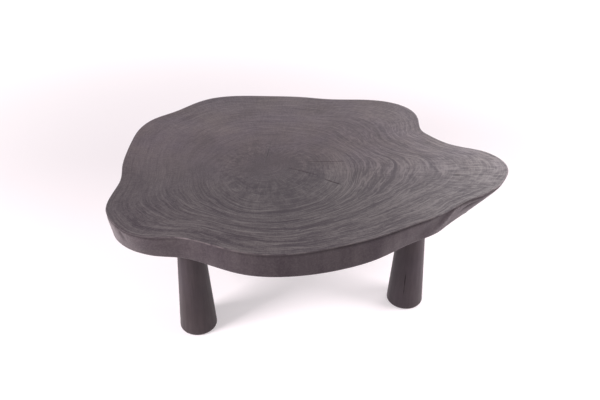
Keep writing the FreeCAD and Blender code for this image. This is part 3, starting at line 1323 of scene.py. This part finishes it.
    def rings_of_mesh(self) -> list[np.ndarray]:
        """The slice's skin as rings of places, from the pith over the rim to the middle underneath.

        Returns:
            The rings, each an array with one row for each meridian that it has.
        """
        angles = self.meridian_angles()
        rings = [np.array([[0.0, 0.0, self.top]])]

        def add_ring(radius: np.ndarray, turned: np.ndarray, height: float) -> None:
            """Adds a ring of places about the pith."""
            level = np.full_like(turned, height)
            rings.append(np.stack([radius * np.cos(turned), radius * np.sin(turned), level], axis=-1))

        for ring in np.arange(self.ring_step, 1.0, self.ring_step):
            middle_radius = ring * self.heartwood_radius
            stride = self.stride_at(middle_radius, self.arc_step)
            turned = self.bent_angles(angles[::stride], middle_radius)
            add_ring(self.ring_radius(np.full_like(turned, ring), turned), turned, self.top)

        upper = self.reach(self.upper_outline, angles)
        for quarter in np.linspace(0, math.pi / 2, self.rim_rows, endpoint=False):
            inward = self.arris_round * (1 - math.sin(quarter))
            add_ring(upper - inward, angles, self.top - self.arris_round * (1 - math.cos(quarter)))

        for share in np.linspace(0, 1, self.side_rows) ** self.side_crowding:
            height = self.edge_top - share * (self.edge_top - self.edge_foot)
            radius = self.reach(self.cast_outline(min(height, self.top - self.arris_cast)), angles)
            add_ring(radius + self.edge_relief(angles, np.full_like(angles, share))[0], angles, height)

        lower = np.hypot(rings[-1][:, 0], rings[-1][:, 1])
        for quarter in np.linspace(0, math.pi / 2, self.rim_rows)[1:]:
            inward = self.lower_round * (1 - math.cos(quarter))
            add_ring(lower - inward, angles, self.floor + self.lower_round * (1 - math.sin(quarter)))
        for share in np.linspace(1, 0, self.underside_rows)[1:-1]:
            stride = self.stride_at(share * lower.mean(), self.underside_step)
            add_ring((lower[::stride] - self.lower_round) * share, angles[::stride], self.floor)
        rings.append(np.array([[0.0, 0.0, self.floor]]))
        return rings

    @staticmethod
    def skin(rings: list[np.ndarray]) -> list[tuple[int, ...]]:
        """Joins rings into a closed skin.

        Args:
            rings: The rings in order, of which neighbours have equal counts, or one twice the other's,
                and the first and last are single points.

        Returns:
            The faces, wound so that they point outwards.
        """
        faces = []
        start = 0
        for inner, outer in zip(rings, rings[1:]):
            a, b = len(inner), len(outer)
            far = start + a
            for i in range(max(a, b)):
                j = i + 1
                if a == 1:
                    faces.append((start, far + i, far + j % b))
                elif b == 1:
                    faces.append((start + i, far, start + j % a))
                elif a == b:
                    faces.append((start + i, far + i, far + j % b, start + j % a))
                elif b > a:
                    near = start + (i + 1) // 2 % a
                    faces.append((near, far + i, far + j % b))
                    if i % 2 == 0:
                        faces.append((start + i // 2, far + j, start + (i // 2 + 1) % a))
                else:
                    wide = far + (i + 1) // 2 % b
                    faces.append((start + i, wide, start + j % a))
                    if i % 2 == 0:
                        faces.append((start + j, far + i // 2, far + (i // 2 + 1) % b))
            start = far
        return faces

    def build(self, effects: SharedEffects) -> bpy.types.Object:
        """Makes the slice, with its pockets and its finish, in its solid's place.

        Args:
            effects: The shared node groups.

        Returns:
            The piece.
        """
        rings = self.rings_of_mesh()
        places = np.concatenate(rings)
        places[:, :2] += np.array(self.pith.xy)
        mesh = bpy.data.meshes.new("live_edge_slice")
        mesh.from_pydata(places.tolist(), [], self.skin(rings))
        piece = new_piece("live_edge_slice", mesh)
        self.carve_top(mesh)
        self.cut_pockets(piece)
        self.mark_finish(piece.data)
        piece.data.shade_smooth()
        piece.data.set_sharp_from_angle(angle=self.sharp_angle)
        piece.data.materials.clear()
        piece.data.materials.append(SliceFinish().material(effects, self.pith, self.knot))
        stand_for(piece, self.node)
        return piece

    def bands(self, ring: np.ndarray, angle: np.ndarray) -> np.ndarray:
        """The broad light and dark bands of the growth rings, strongest towards the front right.

        Args:
            ring: The rings, from 0 to 1.
            angle: Directions from the pith.

        Returns:
            How light each place is, from 0 to 1.
        """
        along, across = self.band_waves
        reach = along * ring * self.heartwood_radius
        places = np.stack([reach * np.cos(angle), reach * np.sin(angle), across * ring], axis=-1)
        front = self.band_share[0] + self.band_share[1] * np.cos(angle - self.band_angle)
        return np.clip(0.5 + self.band_strength * front * perlin(places), 0, 1)

    def about_pith(self, mesh: bpy.types.Mesh) -> tuple[np.ndarray, np.ndarray, np.ndarray]:
        """Reads where a mesh's vertices lie about the pith.

        Args:
            mesh: The mesh.

        Returns:
            Each vertex's distance and direction from the pith, and its height.
        """
        places = vertex_places(mesh)
        x = places[:, 0] - self.pith.x
        y = places[:, 1] - self.pith.y
        return np.hypot(x, y), np.arctan2(y, x), places[:, 2]

    def carve_top(self, mesh: bpy.types.Mesh) -> None:
        """Sinks the soft bands of the rings, the cracks and the knot into the top.

        Args:
            mesh: The slice's mesh, with a level top.
        """
        radius, angle, height = self.about_pith(mesh)
        on_top = height > self.top - self.level_gap
        ring = self.ring_at(radius, angle)
        depth = self.relief * (1 - self.bands(ring, angle)) * (1 - ease(*self.level_rim, ring))
        for check in self.checks:
            depth = np.maximum(depth, check.depth * check.opening(radius, angle))
        aside = np.hypot(radius - self.knot_reach, (angle - self.knot_angle) * radius)
        depth = np.maximum(depth, self.knot_dip.at(aside))
        places = vertex_places(mesh)
        places[:, 2] -= np.where(on_top, depth, 0.0)
        mesh.vertices.foreach_set("co", places.ravel().astype(np.float32))

    def cut_pockets(self, piece: bpy.types.Object) -> None:
        """Cuts the pockets, bores and screw holes above the legs into the underside.

        Args:
            piece: The slice.
        """
        wide, narrow = bmesh.new(), bmesh.new()
        below = self.floor - self.bore_end_gap
        for place in Place:
            plate = f"mounting_plate_{place.value}"
            screws = f"plate_screws_{place.value}"
            bush = f"threaded_bush_{place.value}"
            axis = axis_of(plate)
            bore = half_width(bush) + self.bore_clearance
            bore_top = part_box(bush)[1].z + self.bore_end_gap
            pocket = half_width(plate) + self.pocket_clearance
            pocket_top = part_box(plate)[1].z
            outline = [(0, below), (pocket, below), (pocket, pocket_top)]
            outline += [(bore, pocket_top), (bore, bore_top), (0, bore_top)]
            self.turn_cutter(wide, outline, axis, self.pocket_sides)
            head, screw_top = self.screw_head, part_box(screws)[1].z
            hole = [(0, below), (head, below), (head, screw_top), (0, screw_top)]
            spread = half_width(screws) - head
            for x, y in ((1, 1), (-1, 1), (-1, -1), (1, -1)):
                corner = axis + Vector((x * spread, y * spread, 0))
                self.turn_cutter(narrow, hole, corner, self.screw_sides)
        for number, cutter in enumerate((wide, narrow)):
            mesh = bpy.data.meshes.new(f"pocket_cutter_{number}")
            cutter.to_mesh(mesh)
            cutter.free()
            tool = new_piece(mesh.name, mesh)
            cut = piece.modifiers.new("pockets", "BOOLEAN")
            cut.object = tool
            cut.operation = "DIFFERENCE"
            cut.solver = "MANIFOLD"
            bake_modifiers(piece)
            bpy.data.objects.remove(tool)
            bpy.data.meshes.remove(mesh)

    @staticmethod
    def turn_cutter(cutter: bmesh.types.BMesh, outline: list[Pair], axis: Vector, sides: int) -> None:
        """Adds a turned solid to a cutter.

        Args:
            cutter: What it is added to.
            outline: Its radii and heights, from the axis to the axis.
            axis: Where it stands.
            sides: How many sides it has.
        """
        rows = []
        for radius, height in outline:
            steps = sides if radius else 1
            turns = [TURN * step / steps for step in range(steps)]
            row = [Vector((radius * math.cos(a), radius * math.sin(a), height)) + axis for a in turns]
            rows.append([cutter.verts.new(corner) for corner in row])
        for lower, upper in zip(rows, rows[1:]):
            for i in range(sides):
                j = (i + 1) % sides
                if len(lower) == 1:
                    cutter.faces.new((lower[0], upper[j], upper[i]))
                elif len(upper) == 1:
                    cutter.faces.new((lower[i], lower[j], upper[0]))
                else:
                    cutter.faces.new((lower[i], lower[j], upper[j], upper[i]))

    def mark_finish(self, mesh: bpy.types.Mesh) -> None:
        """Stores the growth rings and the masks that the finish reads.

        Args:
            mesh: The finished mesh.
        """
        radius, angle, height = self.about_pith(mesh)
        degrees = np.degrees(angle)
        ring = self.ring_at(radius, angle)
        below_top = self.top - height
        side = ease(self.side_start, self.arris_round, below_top)
        side = side * ease(self.side_start, self.lower_round, height - self.floor)
        share = np.clip((self.edge_top - height) / (self.edge_top - self.edge_foot), 0, 1)

        # Painted shade in the edge's hollows and in the cracks, with the dark crotch line, makes the
        # hollow mask.
        start, end = (self.arris_round * times for times in self.hollow_start)
        dark = self.edge_relief(angle, share)[1] * ease(start, end, below_top)
        dark = dark * (height > self.edge_foot)
        on_top = below_top < 2 * self.arris_round
        for check in self.checks:
            filled = ease(*self.check_fill, check.opening(radius, angle))
            dark = np.maximum(dark, on_top * filled * check.darkness)
        crotch = ease(*self.crotch_start, degrees) * (1 - ease(*self.crotch_end, degrees))
        dark = np.maximum(dark, on_top * self.crotch_line.at(ring) * crotch)

        # The edge mask: a lighter arris, as rubbed stain with a painted highlight.
        line, width = (self.arris_round * times for times in self.rub_line)
        arris = hump(below_top, line, width) * ease(*self.rub_rings, ring)
        worn_and_lit = sum(bell.at(degrees) for bell in self.worn_and_lit)
        x, y = radius * np.cos(angle), radius * np.sin(angle)
        lit_end = sum(bell.at(degrees) for bell in self.lit_end)
        # Painted highlight on the ridge beside the fold.
        ridge_highlight = self.ridge_highlight.at(degrees - self.ridge_highlight_slope * share)
        masks = {
            "scuff_and_highlight": 1 + self.scuffed_end.at(degrees) + ridge_highlight,
            "hatch": self.hatch.at(x, y),
            # On the side this holds the painted highlight of the left end.
            "flare": self.flare.at(x, y) + side * lit_end,
            "ring": ring,
            "band": self.bands(ring, angle),
            "side": side,
            "hollow": dark,
            "edge": arris * np.clip(self.rub_base + self.rub_strength * worn_and_lit, 0, 1),
        }
        for name, values in masks.items():
            set_numbers(mesh, name, values)


class TurningTree:
    """Geometry nodes that turn a profile about Z, with long grain and one crack."""

    NAME = "turned_piece"
    SEAM: float = 1e-6
    DRIFT_SCALE: float = 30.0
    DRIFT: float = 0.05
    CRACK_ENDS: Pair = (1.0, 0.4)

    def __init__(self) -> None:
        """Builds the tree."""
        grain = numbers("Grain Depth", "Grain Across", "Grain Along", "Seed")
        crack = numbers("Crack Angle", "Crack Low", "Crack High", "Crack Width", "Crack Depth")
        inputs = {"Profile": SocketKind.SHAPE, "Segments": SocketKind.COUNT} | grain | crack
        inputs["Finish"] = SocketKind.FINISH
        bench = GroupBench(self.NAME, TreeKind.GEOMETRY, inputs, {"Piece": SocketKind.SHAPE})
        turned = {"Geometry": self.turn(bench), "Offset": self.relief(bench)}
        moved = bench.made("GeometryNodeSetPosition", turned)
        smooth = bench.made("GeometryNodeSetShadeSmooth", {"Geometry": moved})
        plain = bench.made("GeometryNodeRealizeInstances", {"Geometry": smooth})
        finished = {"Geometry": plain, "Material": bench.source["Finish"]}
        self.tree = bench.put(Piece=bench.made("GeometryNodeSetMaterial", finished))

    @staticmethod
    def shown_skin(bench: GroupBench) -> Socket:
        """How far each point belongs to the skin that shows."""
        return bench.made("GeometryNodeInputNamedAttribute", {"Name": "skin"}, data_type="FLOAT")

    def turn(self, bench: GroupBench) -> Socket:
        """Bends a grid round Z, with one row for each point of the profile.

        Args:
            bench: The tree.

        Returns:
            The turned skin, with its seam and its poles closed and its faces outwards.
        """
        profile = bench.source["Profile"]
        rows = bench.add("GeometryNodeAttributeDomainSize", {"Geometry": profile}).outputs["Point Count"]
        grid_inputs = {
            "Size X": 1.0,
            "Size Y": 1.0,
            "Vertices X": bench.total(bench.source["Segments"], 1.0),
            "Vertices Y": rows,
        }
        grid = bench.add("GeometryNodeMeshGrid", grid_inputs).outputs["Mesh"]
        place = bench.made("GeometryNodeInputPosition")
        across, along, _ = bench.split(bench.vector("ADD", place, (0.5, 0.5, 0.0)))
        row = bench.math("ROUND", bench.product(along, bench.minus(rows, 1.0)))

        def sampled(value: Socket, **options: Any) -> Socket:
            """A value of the profile's own point, for each row of the grid."""
            inputs = {"Geometry": profile, "Value": value, "Index": row}
            return bench.made("GeometryNodeSampleIndex", inputs, **options)

        point = sampled(place, data_type="FLOAT_VECTOR")
        spun = {"Vector": point, "Angle": bench.product(across, TURN)}
        position = bench.made("ShaderNodeVectorRotate", spun, rotation_type="Z_AXIS")
        skin = {"Geometry": grid, "Name": "skin", "Value": sampled(self.shown_skin(bench))}
        marked = bench.made("GeometryNodeStoreNamedAttribute", skin)
        bent = bench.made("GeometryNodeSetPosition", {"Geometry": marked, "Position": position})
        closed = bench.made("GeometryNodeMergeByDistance", {"Geometry": bent, "Distance": self.SEAM})
        return bench.made("GeometryNodeFlipFaces", {"Mesh": closed})

    def relief(self, bench: GroupBench) -> Socket:
        """Raised grain on the shown skin, and the crack in it.

        Args:
            bench: The tree.

        Returns:
            How far each place moves.
        """
        source = bench.source
        place = bench.made("GeometryNodeInputPosition")
        x, y, z = bench.split(place)
        level = bench.join(x, y, 0.0)
        stretch = bench.join(source["Grain Across"], source["Grain Across"], source["Grain Along"])
        stretched = bench.vector("MULTIPLY", place, stretch)
        seeded = bench.vector("ADD", stretched, bench.join(source["Seed"], 0.0, 0.0))
        grain = bench.noise(seeded, 1.0, detail=3.0, roughness=0.55)
        rise = bench.product(bench.swing(grain, 1.0), source["Grain Depth"])

        drift = bench.swing(bench.noise(bench.join(0.0, 0.0, z), self.DRIFT_SCALE), self.DRIFT)
        turn = bench.total(bench.minus(bench.math("ARCTAN2", y, x), source["Crack Angle"]), drift)
        aside = bench.product(bench.math("ABSOLUTE", turn), bench.measure("LENGTH", level))
        open_share = bench.minus(1.0, bench.math("DIVIDE", aside, source["Crack Width"]))
        middle = bench.product(bench.total(source["Crack Low"], source["Crack High"]), 0.5)
        half = bench.minus(source["Crack High"], middle)
        from_middle = bench.math("ABSOLUTE", bench.math("DIVIDE", bench.minus(z, middle), half))
        ends = bench.remap(from_middle, *self.CRACK_ENDS)
        sunk = bench.product(bench.math("MAXIMUM", open_share, 0.0), ends, source["Crack Depth"])
        amount = bench.product(bench.minus(rise, sunk), self.shown_skin(bench))
        outward = {0: bench.vector("NORMALIZE", level), "Scale": amount}
        return bench.made("ShaderNodeVectorMath", outward, operation="SCALE")

    def apply(self, name: str, profile: list[Triple], axis: Vector, **values: Any) -> bpy.types.Object:
        """Turns one piece.

        Args:
            name: The piece's name.
            profile: Radius, height and shown share of each point, from the axis to the axis.
            axis: Where the piece stands.
            values: The tree's inputs, named with underscores for spaces.

        Returns:
            The turned piece, in its place.
        """
        mesh = bpy.data.meshes.new(name)
        corners = [(radius, 0, height) for radius, height, _ in profile]
        mesh.from_pydata(corners, [(i, i + 1) for i in range(len(corners) - 1)], [])
        set_numbers(mesh, "skin", np.array([shown for _, _, shown in profile]))
        piece = new_piece(name, mesh)
        apply_tree(piece, self.tree, **values)
        piece.data.transform(Matrix.Translation(axis))
        return piece


@dataclass
class TurnedLeg:
    """One tapered round leg, bored for its bolt and its glide."""

    place: Place
    slot: str = "stained_wood_leg"
    cracked_place: Place = Place.FRONT_RIGHT
    segments: int = 224
    shaft_rows: int = 46
    foot_rows: int = 9
    foot_crowding: float = 1.6
    foot_height: float = 7.0 * MM
    top_height: float = 3.0 * MM
    skin_gap: float = 0.2 * MM
    sharp_angle: float = math.radians(40)
    grain_depth: float = 0.22 * MM
    grain_across: float = 150.0
    grain_along: float = 5.0
    seed_step: float = 7.3
    crack_angle: float = math.radians(-104.0)
    crack_low: float = 0.035
    crack_high: float = 0.165
    crack_width: float = 1.1 * MM
    crack_depth: float = 2.4 * MM
    crack_ends: Pair = (0.5, 1.0)
    # Painted shade beside the crack, and along the very foot of the leg.
    crack_shade_spread: float = 1.6
    crack_darkness: float = 0.4
    foot_shade: Bell = Bell(0.0, 2.0 * MM, 0.5)
    foot_rub: Bell = Bell(5 * MM, 2.0 * MM, 0.10)

    @property
    def node(self) -> str:
        """The leg's solid."""
        return f"leg_{self.place.value}"

    def cast_radius(self, solid: BVHTree, axis: Vector, height: float) -> float:
        """The solid's radius at a height."""
        start = axis + Vector((1, 0, height))
        return solid.ray_cast(start, Vector((-1, 0, 0)))[0].x - axis.x

    def profile(self, axis: Vector) -> list[Triple]:
        """The leg's profile, from the end of the bolt's bore over the outside to the screw's hole.

        Args:
            axis: Where the leg stands.

        Returns:
            Radius, height and shown share of each point.
        """
        low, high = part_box(self.node)
        solid = node_tree(self.node)
        bolt = f"hanger_bolt_{self.place.value}"
        cup = f"glide_cup_{self.place.value}"
        screw = f"glide_screw_{self.place.value}"
        bore = half_width(bolt) + self.skin_gap
        bore_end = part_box(bolt)[0].z - self.skin_gap
        socket = half_width(cup) + self.skin_gap
        socket_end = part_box(cup)[1].z
        pilot = half_width(screw) + self.skin_gap
        pilot_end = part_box(screw)[1].z + self.skin_gap

        shaft_top, shaft_foot = high.z - 2 * self.top_height, low.z + self.foot_height
        foot_shares = np.linspace(1, 0, self.foot_rows + 1)[1:-1] ** self.foot_crowding
        heights = [high.z - self.skin_gap, high.z - self.top_height]
        heights += list(np.linspace(shaft_top, shaft_foot, self.shaft_rows))
        heights += list(low.z + self.foot_height * foot_shares)
        outside = [(self.cast_radius(solid, axis, height), height, 1.0) for height in heights]
        outside[0] = (outside[0][0], high.z, 0.0)
        foot_edge = outside[-1][0] - self.skin_gap
        bore_part = [(0, bore_end, 0), (bore, bore_end, 0), (bore, high.z, 0)]
        foot_part = [(foot_edge, low.z, 0), (socket, low.z, 0), (socket, socket_end, 0)]
        pilot_part = [(pilot, socket_end, 0), (pilot, pilot_end, 0), (0, pilot_end, 0)]
        return bore_part + outside + foot_part + pilot_part

    def build(self, turning: TurningTree, finish: bpy.types.Material, seed: int) -> bpy.types.Object:
        """Turns the leg, in its solid's place.

        Args:
            turning: The geometry nodes.
            finish: The leg's material.
            seed: Sets its grain apart from the other legs'.

        Returns:
            The piece.
        """
        axis = axis_of(self.node)
        cracked = self.place is self.cracked_place
        piece = turning.apply(
            f"turned_leg_{self.place.value}",
            self.profile(axis),
            axis,
            Segments=self.segments,
            Grain_Depth=self.grain_depth,
            Grain_Across=self.grain_across,
            Grain_Along=self.grain_along,
            Seed=self.seed_step * seed,
            Crack_Angle=self.crack_angle,
            Crack_Low=self.crack_low,
            Crack_High=self.crack_high,
            Crack_Width=self.crack_width,
            Crack_Depth=self.crack_depth if cracked else 0.0,
            Finish=finish,
        )
        self.mark_finish(piece.data, axis, cracked)
        piece.data.set_sharp_from_angle(angle=self.sharp_angle)
        stand_for(piece, self.node)
        return piece

    def mark_finish(self, mesh: bpy.types.Mesh, axis: Vector, cracked: bool) -> None:
        """Stores the masks that the finish reads.

        Args:
            mesh: The leg's mesh.
            axis: Where the leg stands.
            cracked: Whether the leg has the crack.
        """
        places = vertex_places(mesh)
        x, y, z = places[:, 0] - axis.x, places[:, 1] - axis.y, places[:, 2]
        above_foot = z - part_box(self.node)[0].z
        aside = np.abs(np.arctan2(y, x) - self.crack_angle) * np.hypot(x, y)
        middle = (self.crack_low + self.crack_high) / 2
        ends = 1 - ease(*self.crack_ends, np.abs(z - middle) / (self.crack_high - middle))
        # Painted shade in the crack, and at the foot's bottom edge where the leg meets its glide.
        stain = np.clip(1 - aside / (self.crack_shade_spread * self.crack_width), 0, 1)
        crack = self.crack_darkness * stain * ends * float(cracked)
        set_numbers(mesh, "hollow", np.maximum(crack, self.foot_shade.at(above_foot)))
        set_numbers(mesh, "edge", self.foot_rub.at(above_foot))


class FibreTree:
    """Geometry nodes that scatter lying fibres over a pad of felt."""

    NAME = "felt_fibres"
    BOW: float = 0.3
    LIFT: float = 4.0
    CORNERS: int = 3

    def __init__(self) -> None:
        """Builds the tree."""
        inputs = {"Pad": SocketKind.SHAPE} | numbers("Density", "Length", "Thickness", "Floor")
        inputs |= {"Seed": SocketKind.COUNT, "Finish": SocketKind.FINISH}
        bench = GroupBench(self.NAME, TreeKind.GEOMETRY, inputs, {"Piece": SocketKind.SHAPE})
        source = bench.source
        scatter = {"Mesh": source["Pad"], "Density": source["Density"], "Seed": source["Seed"]}
        spots = bench.add("GeometryNodeDistributePointsOnFaces", scatter).outputs
        turns = {0: (0.0, 0.0, 0.0), 1: (0.0, 0.0, TURN), "Seed": source["Seed"]}
        spin = bench.made("FunctionNodeRandomValue", turns, data_type="FLOAT_VECTOR")
        spun = bench.made("FunctionNodeEulerToRotation", {0: spin})
        laid = {"Rotation": spots["Rotation"], "Rotate By": spun}
        lying = bench.made("FunctionNodeRotateRotation", laid, rotation_space="LOCAL")
        fibres = {"Points": spots["Points"], "Instance": self.fibre(bench), "Rotation": lying}
        placed = bench.made("GeometryNodeInstanceOnPoints", fibres)
        together = bench.add("GeometryNodeJoinGeometry")
        bench.feed(together.inputs[0], source["Pad"])
        bench.feed(together.inputs[0], placed)
        plain = bench.made("GeometryNodeRealizeInstances", {"Geometry": together.outputs[0]})
        x, y, z = bench.split(bench.made("GeometryNodeInputPosition"))
        pressed = bench.join(x, y, bench.math("MAXIMUM", z, source["Floor"]))
        flat = bench.made("GeometryNodeSetPosition", {"Geometry": plain, "Position": pressed})
        finished = {"Geometry": flat, "Material": source["Finish"]}
        self.tree = bench.put(Piece=bench.made("GeometryNodeSetMaterial", finished))

    def fibre(self, bench: GroupBench) -> Socket:
        """One bent fibre that lies on its spot.

        Args:
            bench: The tree.

        Returns:
            The fibre's mesh.
        """
        length, thickness = bench.source["Length"], bench.source["Thickness"]
        half = bench.product(length, 0.5)
        bend = bench.join(0.0, bench.product(length, self.BOW), bench.product(thickness, self.LIFT))
        path = {
            "Resolution": self.CORNERS,
            "Start": bench.join(bench.product(half, -1.0), 0.0, 0.0),
            "Middle": bend,
            "End": bench.join(half, 0.0, 0.0),
        }
        line = bench.made("GeometryNodeCurveQuadraticBezier", path)
        circle = {"Resolution": self.CORNERS, "Radius": thickness}
        section = bench.made("GeometryNodeCurvePrimitiveCircle", circle)
        swept = {"Curve": line, "Profile Curve": section, "Fill Caps": True}
        return bench.made("GeometryNodeCurveToMesh", swept)


@dataclass
class FeltGlide:
    """The felt disc under one leg, with soft edges and loose fibres."""

    place: Place
    slot: str = "grey_felt"
    segments: int = 72
    edge_round: float = 0.7 * MM
    edge_rows: int = 5
    bottom_shares: tuple[float, ...] = (0.75, 0.5, 0.25, 0.0)
    grain_depth: float = 0.12 * MM
    grain_scale: float = 600.0
    seed_step: float = 3.1
    fibre_room: float = 0.25 * MM
    fibre_density: float = 4.5e5
    fibre_length: float = 2.4 * MM
    fibre_thickness: float = 0.045 * MM
    floor_gap: float = 0.02 * MM
    fill: float = 0.9

    @property
    def node(self) -> str:
        """The felt's solid."""
        return f"glide_felt_{self.place.value}"

    def profile(self) -> list[Triple]:
        """The disc's profile, a little inside its solid to leave room for its fibres.

        Returns:
            Radius, height and shown share of each point.
        """
        low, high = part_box(self.node)
        radius = half_width(self.node) - self.fibre_room
        bottom = low.z + self.fibre_room
        inner = radius - self.edge_round
        points = [(0, high.z, 0), (inner, high.z, 0), (radius, high.z - self.edge_round, 1)]
        for quarter in np.linspace(0, math.pi / 2, self.edge_rows):
            out = inner + self.edge_round * math.cos(quarter)
            points.append((out, bottom + self.edge_round * (1 - math.sin(quarter)), 1))
        points += [(inner * share, bottom, 0) for share in self.bottom_shares]
        return points

    def build(
        self, turning: TurningTree, fibres: FibreTree, finish: bpy.types.Material, seed: int
    ) -> bpy.types.Object:
        """Makes the disc and its fibres, in its solid's place.

        Args:
            turning: The geometry nodes that turn the disc.
            fibres: The geometry nodes that scatter the fibres.
            finish: The felt's material.
            seed: Sets it apart from the other felts.

        Returns:
            The piece.
        """
        piece = turning.apply(
            f"felt_pad_{self.place.value}",
            self.profile(),
            axis_of(self.node),
            Segments=self.segments,
            Grain_Depth=self.grain_depth,
            Grain_Across=self.grain_scale,
            Grain_Along=self.grain_scale,
            Seed=self.seed_step * seed,
            Finish=finish,
        )
        apply_tree(
            piece,
            fibres.tree,
            Density=self.fibre_density,
            Length=self.fibre_length,
            Thickness=self.fibre_thickness,
            Floor=self.floor_gap,
            Seed=seed,
            Finish=finish,
        )
        stand_for(piece, self.node)
        return piece


@dataclass
class Fixings:
    """The solids that keep their shape: steel fixings and nylon glide cups."""

    steel_kinds: tuple[str, ...] = (
        "hanger_bolt",
        "threaded_bush",
        "mounting_plate",
        "plate_screws",
        "glide_screw",
    )
    nylon_kind: str = "glide_cup"

    def dress(self, effects: SharedEffects) -> list[str]:
        """Gives each solid its finish.

        Args:
            effects: The shared node groups.

        Returns:
            The names of the solids.
        """
        steel = ZincSteel().material(effects)
        nylon = MouldedNylon().material(effects)
        finishes = {kind: steel for kind in self.steel_kinds} | {self.nylon_kind: nylon}
        dressed = []
        for place in Place:
            for kind, finish in finishes.items():
                name = f"{kind}_{place.value}"
                for slot in frame["nodes"][name].material_slots:
                    slot.material = finish
                dressed.append(name)
        return dressed


@dataclass(frozen=True)
class SoftBox:
    """A soft lamp that faces the table, and whether surfaces mirror it.

    Its direction and its height over the floor are in degrees.
    """

    name: str
    azimuth: float
    elevation: float
    power: float
    size: Pair
    distance: float
    mirrored: bool

    def build(self, aim: Vector) -> None:
        """Hangs the lamp.

        Args:
            aim: The point that it faces.
        """
        lamp = bpy.data.lights.new(self.name, "AREA")
        lamp.shape = "RECTANGLE"
        lamp.size, lamp.size_y = self.size
        lamp.energy = self.power
        azimuth, elevation = math.radians(self.azimuth), math.radians(self.elevation)
        level = Vector((math.cos(azimuth), math.sin(azimuth), 0)) * math.cos(elevation)
        towards = level + Vector((0, 0, math.sin(elevation)))
        holder = bpy.data.objects.new(self.name, lamp)
        holder.location = aim + towards * self.distance
        holder.rotation_euler = towards.to_track_quat("Z", "Y").to_euler()
        holder.visible_glossy = self.mirrored
        bpy.context.scene.collection.objects.link(holder)


@dataclass
class Studio:
    """A pale floor, soft lamps, a white surround and the camera."""

    floor_half: float = 9.0
    floor_colour: Colour = (0.66, 0.590, 0.620)
    floor_roughness: float = 0.9
    floor_specular: float = 0.1
    floor_glow: Colour = (1.0, 0.965, 0.98)
    under_glow: float = 0.45
    near_glow: float = 0.29
    far_glow: float = 1.0
    under_reach: Pair = (0.25, 0.95)
    far_reach: Pair = (0.95, 3.4)
    surround: Colour = (1.0, 1.0, 1.0)
    fill_light: float = 0.265
    aim: Triple = (0.0, 0.0, 0.3)
    camera_place: Triple = (-0.04398, -1.95028, 1.64320)
    camera_tilt: float = math.radians(54.531)
    camera_lens: float = 43.5
    lamps: tuple[SoftBox, ...] = (
        SoftBox("left_softbox", 211.0, 24.0, 56.0, (0.7, 0.7), 2.3, False),
        SoftBox("right_softbox", -12.0, 26.0, 28.0, (0.8, 0.8), 1.75, False),
        SoftBox("back_softbox", 54.0, 23.0, 55.0, (2.2, 1.2), 3.6, True),
        SoftBox("rear_softbox", 95.0, 9.0, 14.0, (2.4, 0.8), 3.6, True),
    )

    def build(self) -> None:
        """Sets the scene."""
        self.build_floor()
        self.build_surround()
        for lamp in self.lamps:
            lamp.build(Vector(self.aim))
        self.build_camera()
        bpy.context.scene.view_settings.view_transform = "Standard"

    def build_floor(self) -> None:
        """Lays the floor, which isn't part of the table."""
        half = self.floor_half
        mesh = bpy.data.meshes.new("studio_floor")
        corners = [(-half, -half, 0), (half, -half, 0), (half, half, 0), (-half, half, 0)]
        mesh.from_pydata(corners, [], [(0, 1, 2, 3)])
        bench = MaterialBench(
            "studio_floor",
            Base_Color=self.floor_colour,
            Roughness=self.floor_roughness,
            Specular_IOR_Level=self.floor_specular,
            Emission_Color=self.floor_glow,
        )
        distance = bench.measure("LENGTH", bench.object_place())
        near = bench.remap(distance, *self.under_reach, self.under_glow, self.near_glow)
        far = bench.remap(distance, *self.far_reach, 0.0, self.far_glow - self.near_glow)
        bench.set(Emission_Strength=bench.product(self.seen_rays(bench), bench.total(near, far)))
        mesh.materials.append(bench.material)
        new_piece("studio_floor", mesh)

    def build_surround(self) -> None:
        """Fills the surround with white, which lights the table at a plain level."""
        world = bpy.data.worlds.new("white_surround")
        world.use_nodes = True
        bpy.context.scene.world = world
        bench = NodeBench(world.node_tree)
        background = world.node_tree.nodes["Background"].inputs
        bench.feed(background["Color"], self.surround)
        strength = bench.between(self.seen_rays(bench), self.fill_light, 1.0)
        bench.feed(background["Strength"], strength)

    @staticmethod
    def seen_rays(bench: NodeBench) -> Socket:
        """Tells the rays that show the background from those that only light the table.

        Args:
            bench: The tree of the background.

        Returns:
            1 for the first kind, 0 for the other.
        """
        rays = bench.add("ShaderNodeLightPath").outputs
        kinds = ("Is Camera Ray", "Is Glossy Ray", "Is Transmission Ray")
        return bench.chain("MAXIMUM", *(rays[kind] for kind in kinds))

    def build_camera(self) -> None:
        """Places the camera at the photograph's viewing angle."""
        lens = bpy.data.cameras.new("camera")
        lens.lens = self.camera_lens
        camera = bpy.data.objects.new("camera", lens)
        camera.location = self.camera_place
        camera.rotation_euler = (self.camera_tilt, 0, 0)
        bpy.context.scene.collection.objects.link(camera)
        bpy.context.scene.camera = camera


def main() -> None:
    """Builds the table's pieces in order, dresses them and sets the scene."""
    logging.basicConfig(level=logging.INFO, format="%(message)s")
    effects = SharedEffects()
    turning = TurningTree()
    fibres = FibreTree()
    leg_finish = LegFinish().material(effects)
    felt_finish = WoolFelt().material(effects)

    pieces = [SliceTop().build(effects)]
    for seed, place in enumerate(Place, start=1):
        pieces.append(TurnedLeg(place).build(turning, leg_finish, seed))
        pieces.append(FeltGlide(place).build(turning, fibres, felt_finish, seed))
    for piece in pieces:
        LOG.info("%s: %d faces", piece.name, len(piece.data.polygons))

    for name in Fixings().dress(effects):
        LOG.info("%s: dressed solid", name)
    Studio().build()


if __name__ == "__main__":
    main()
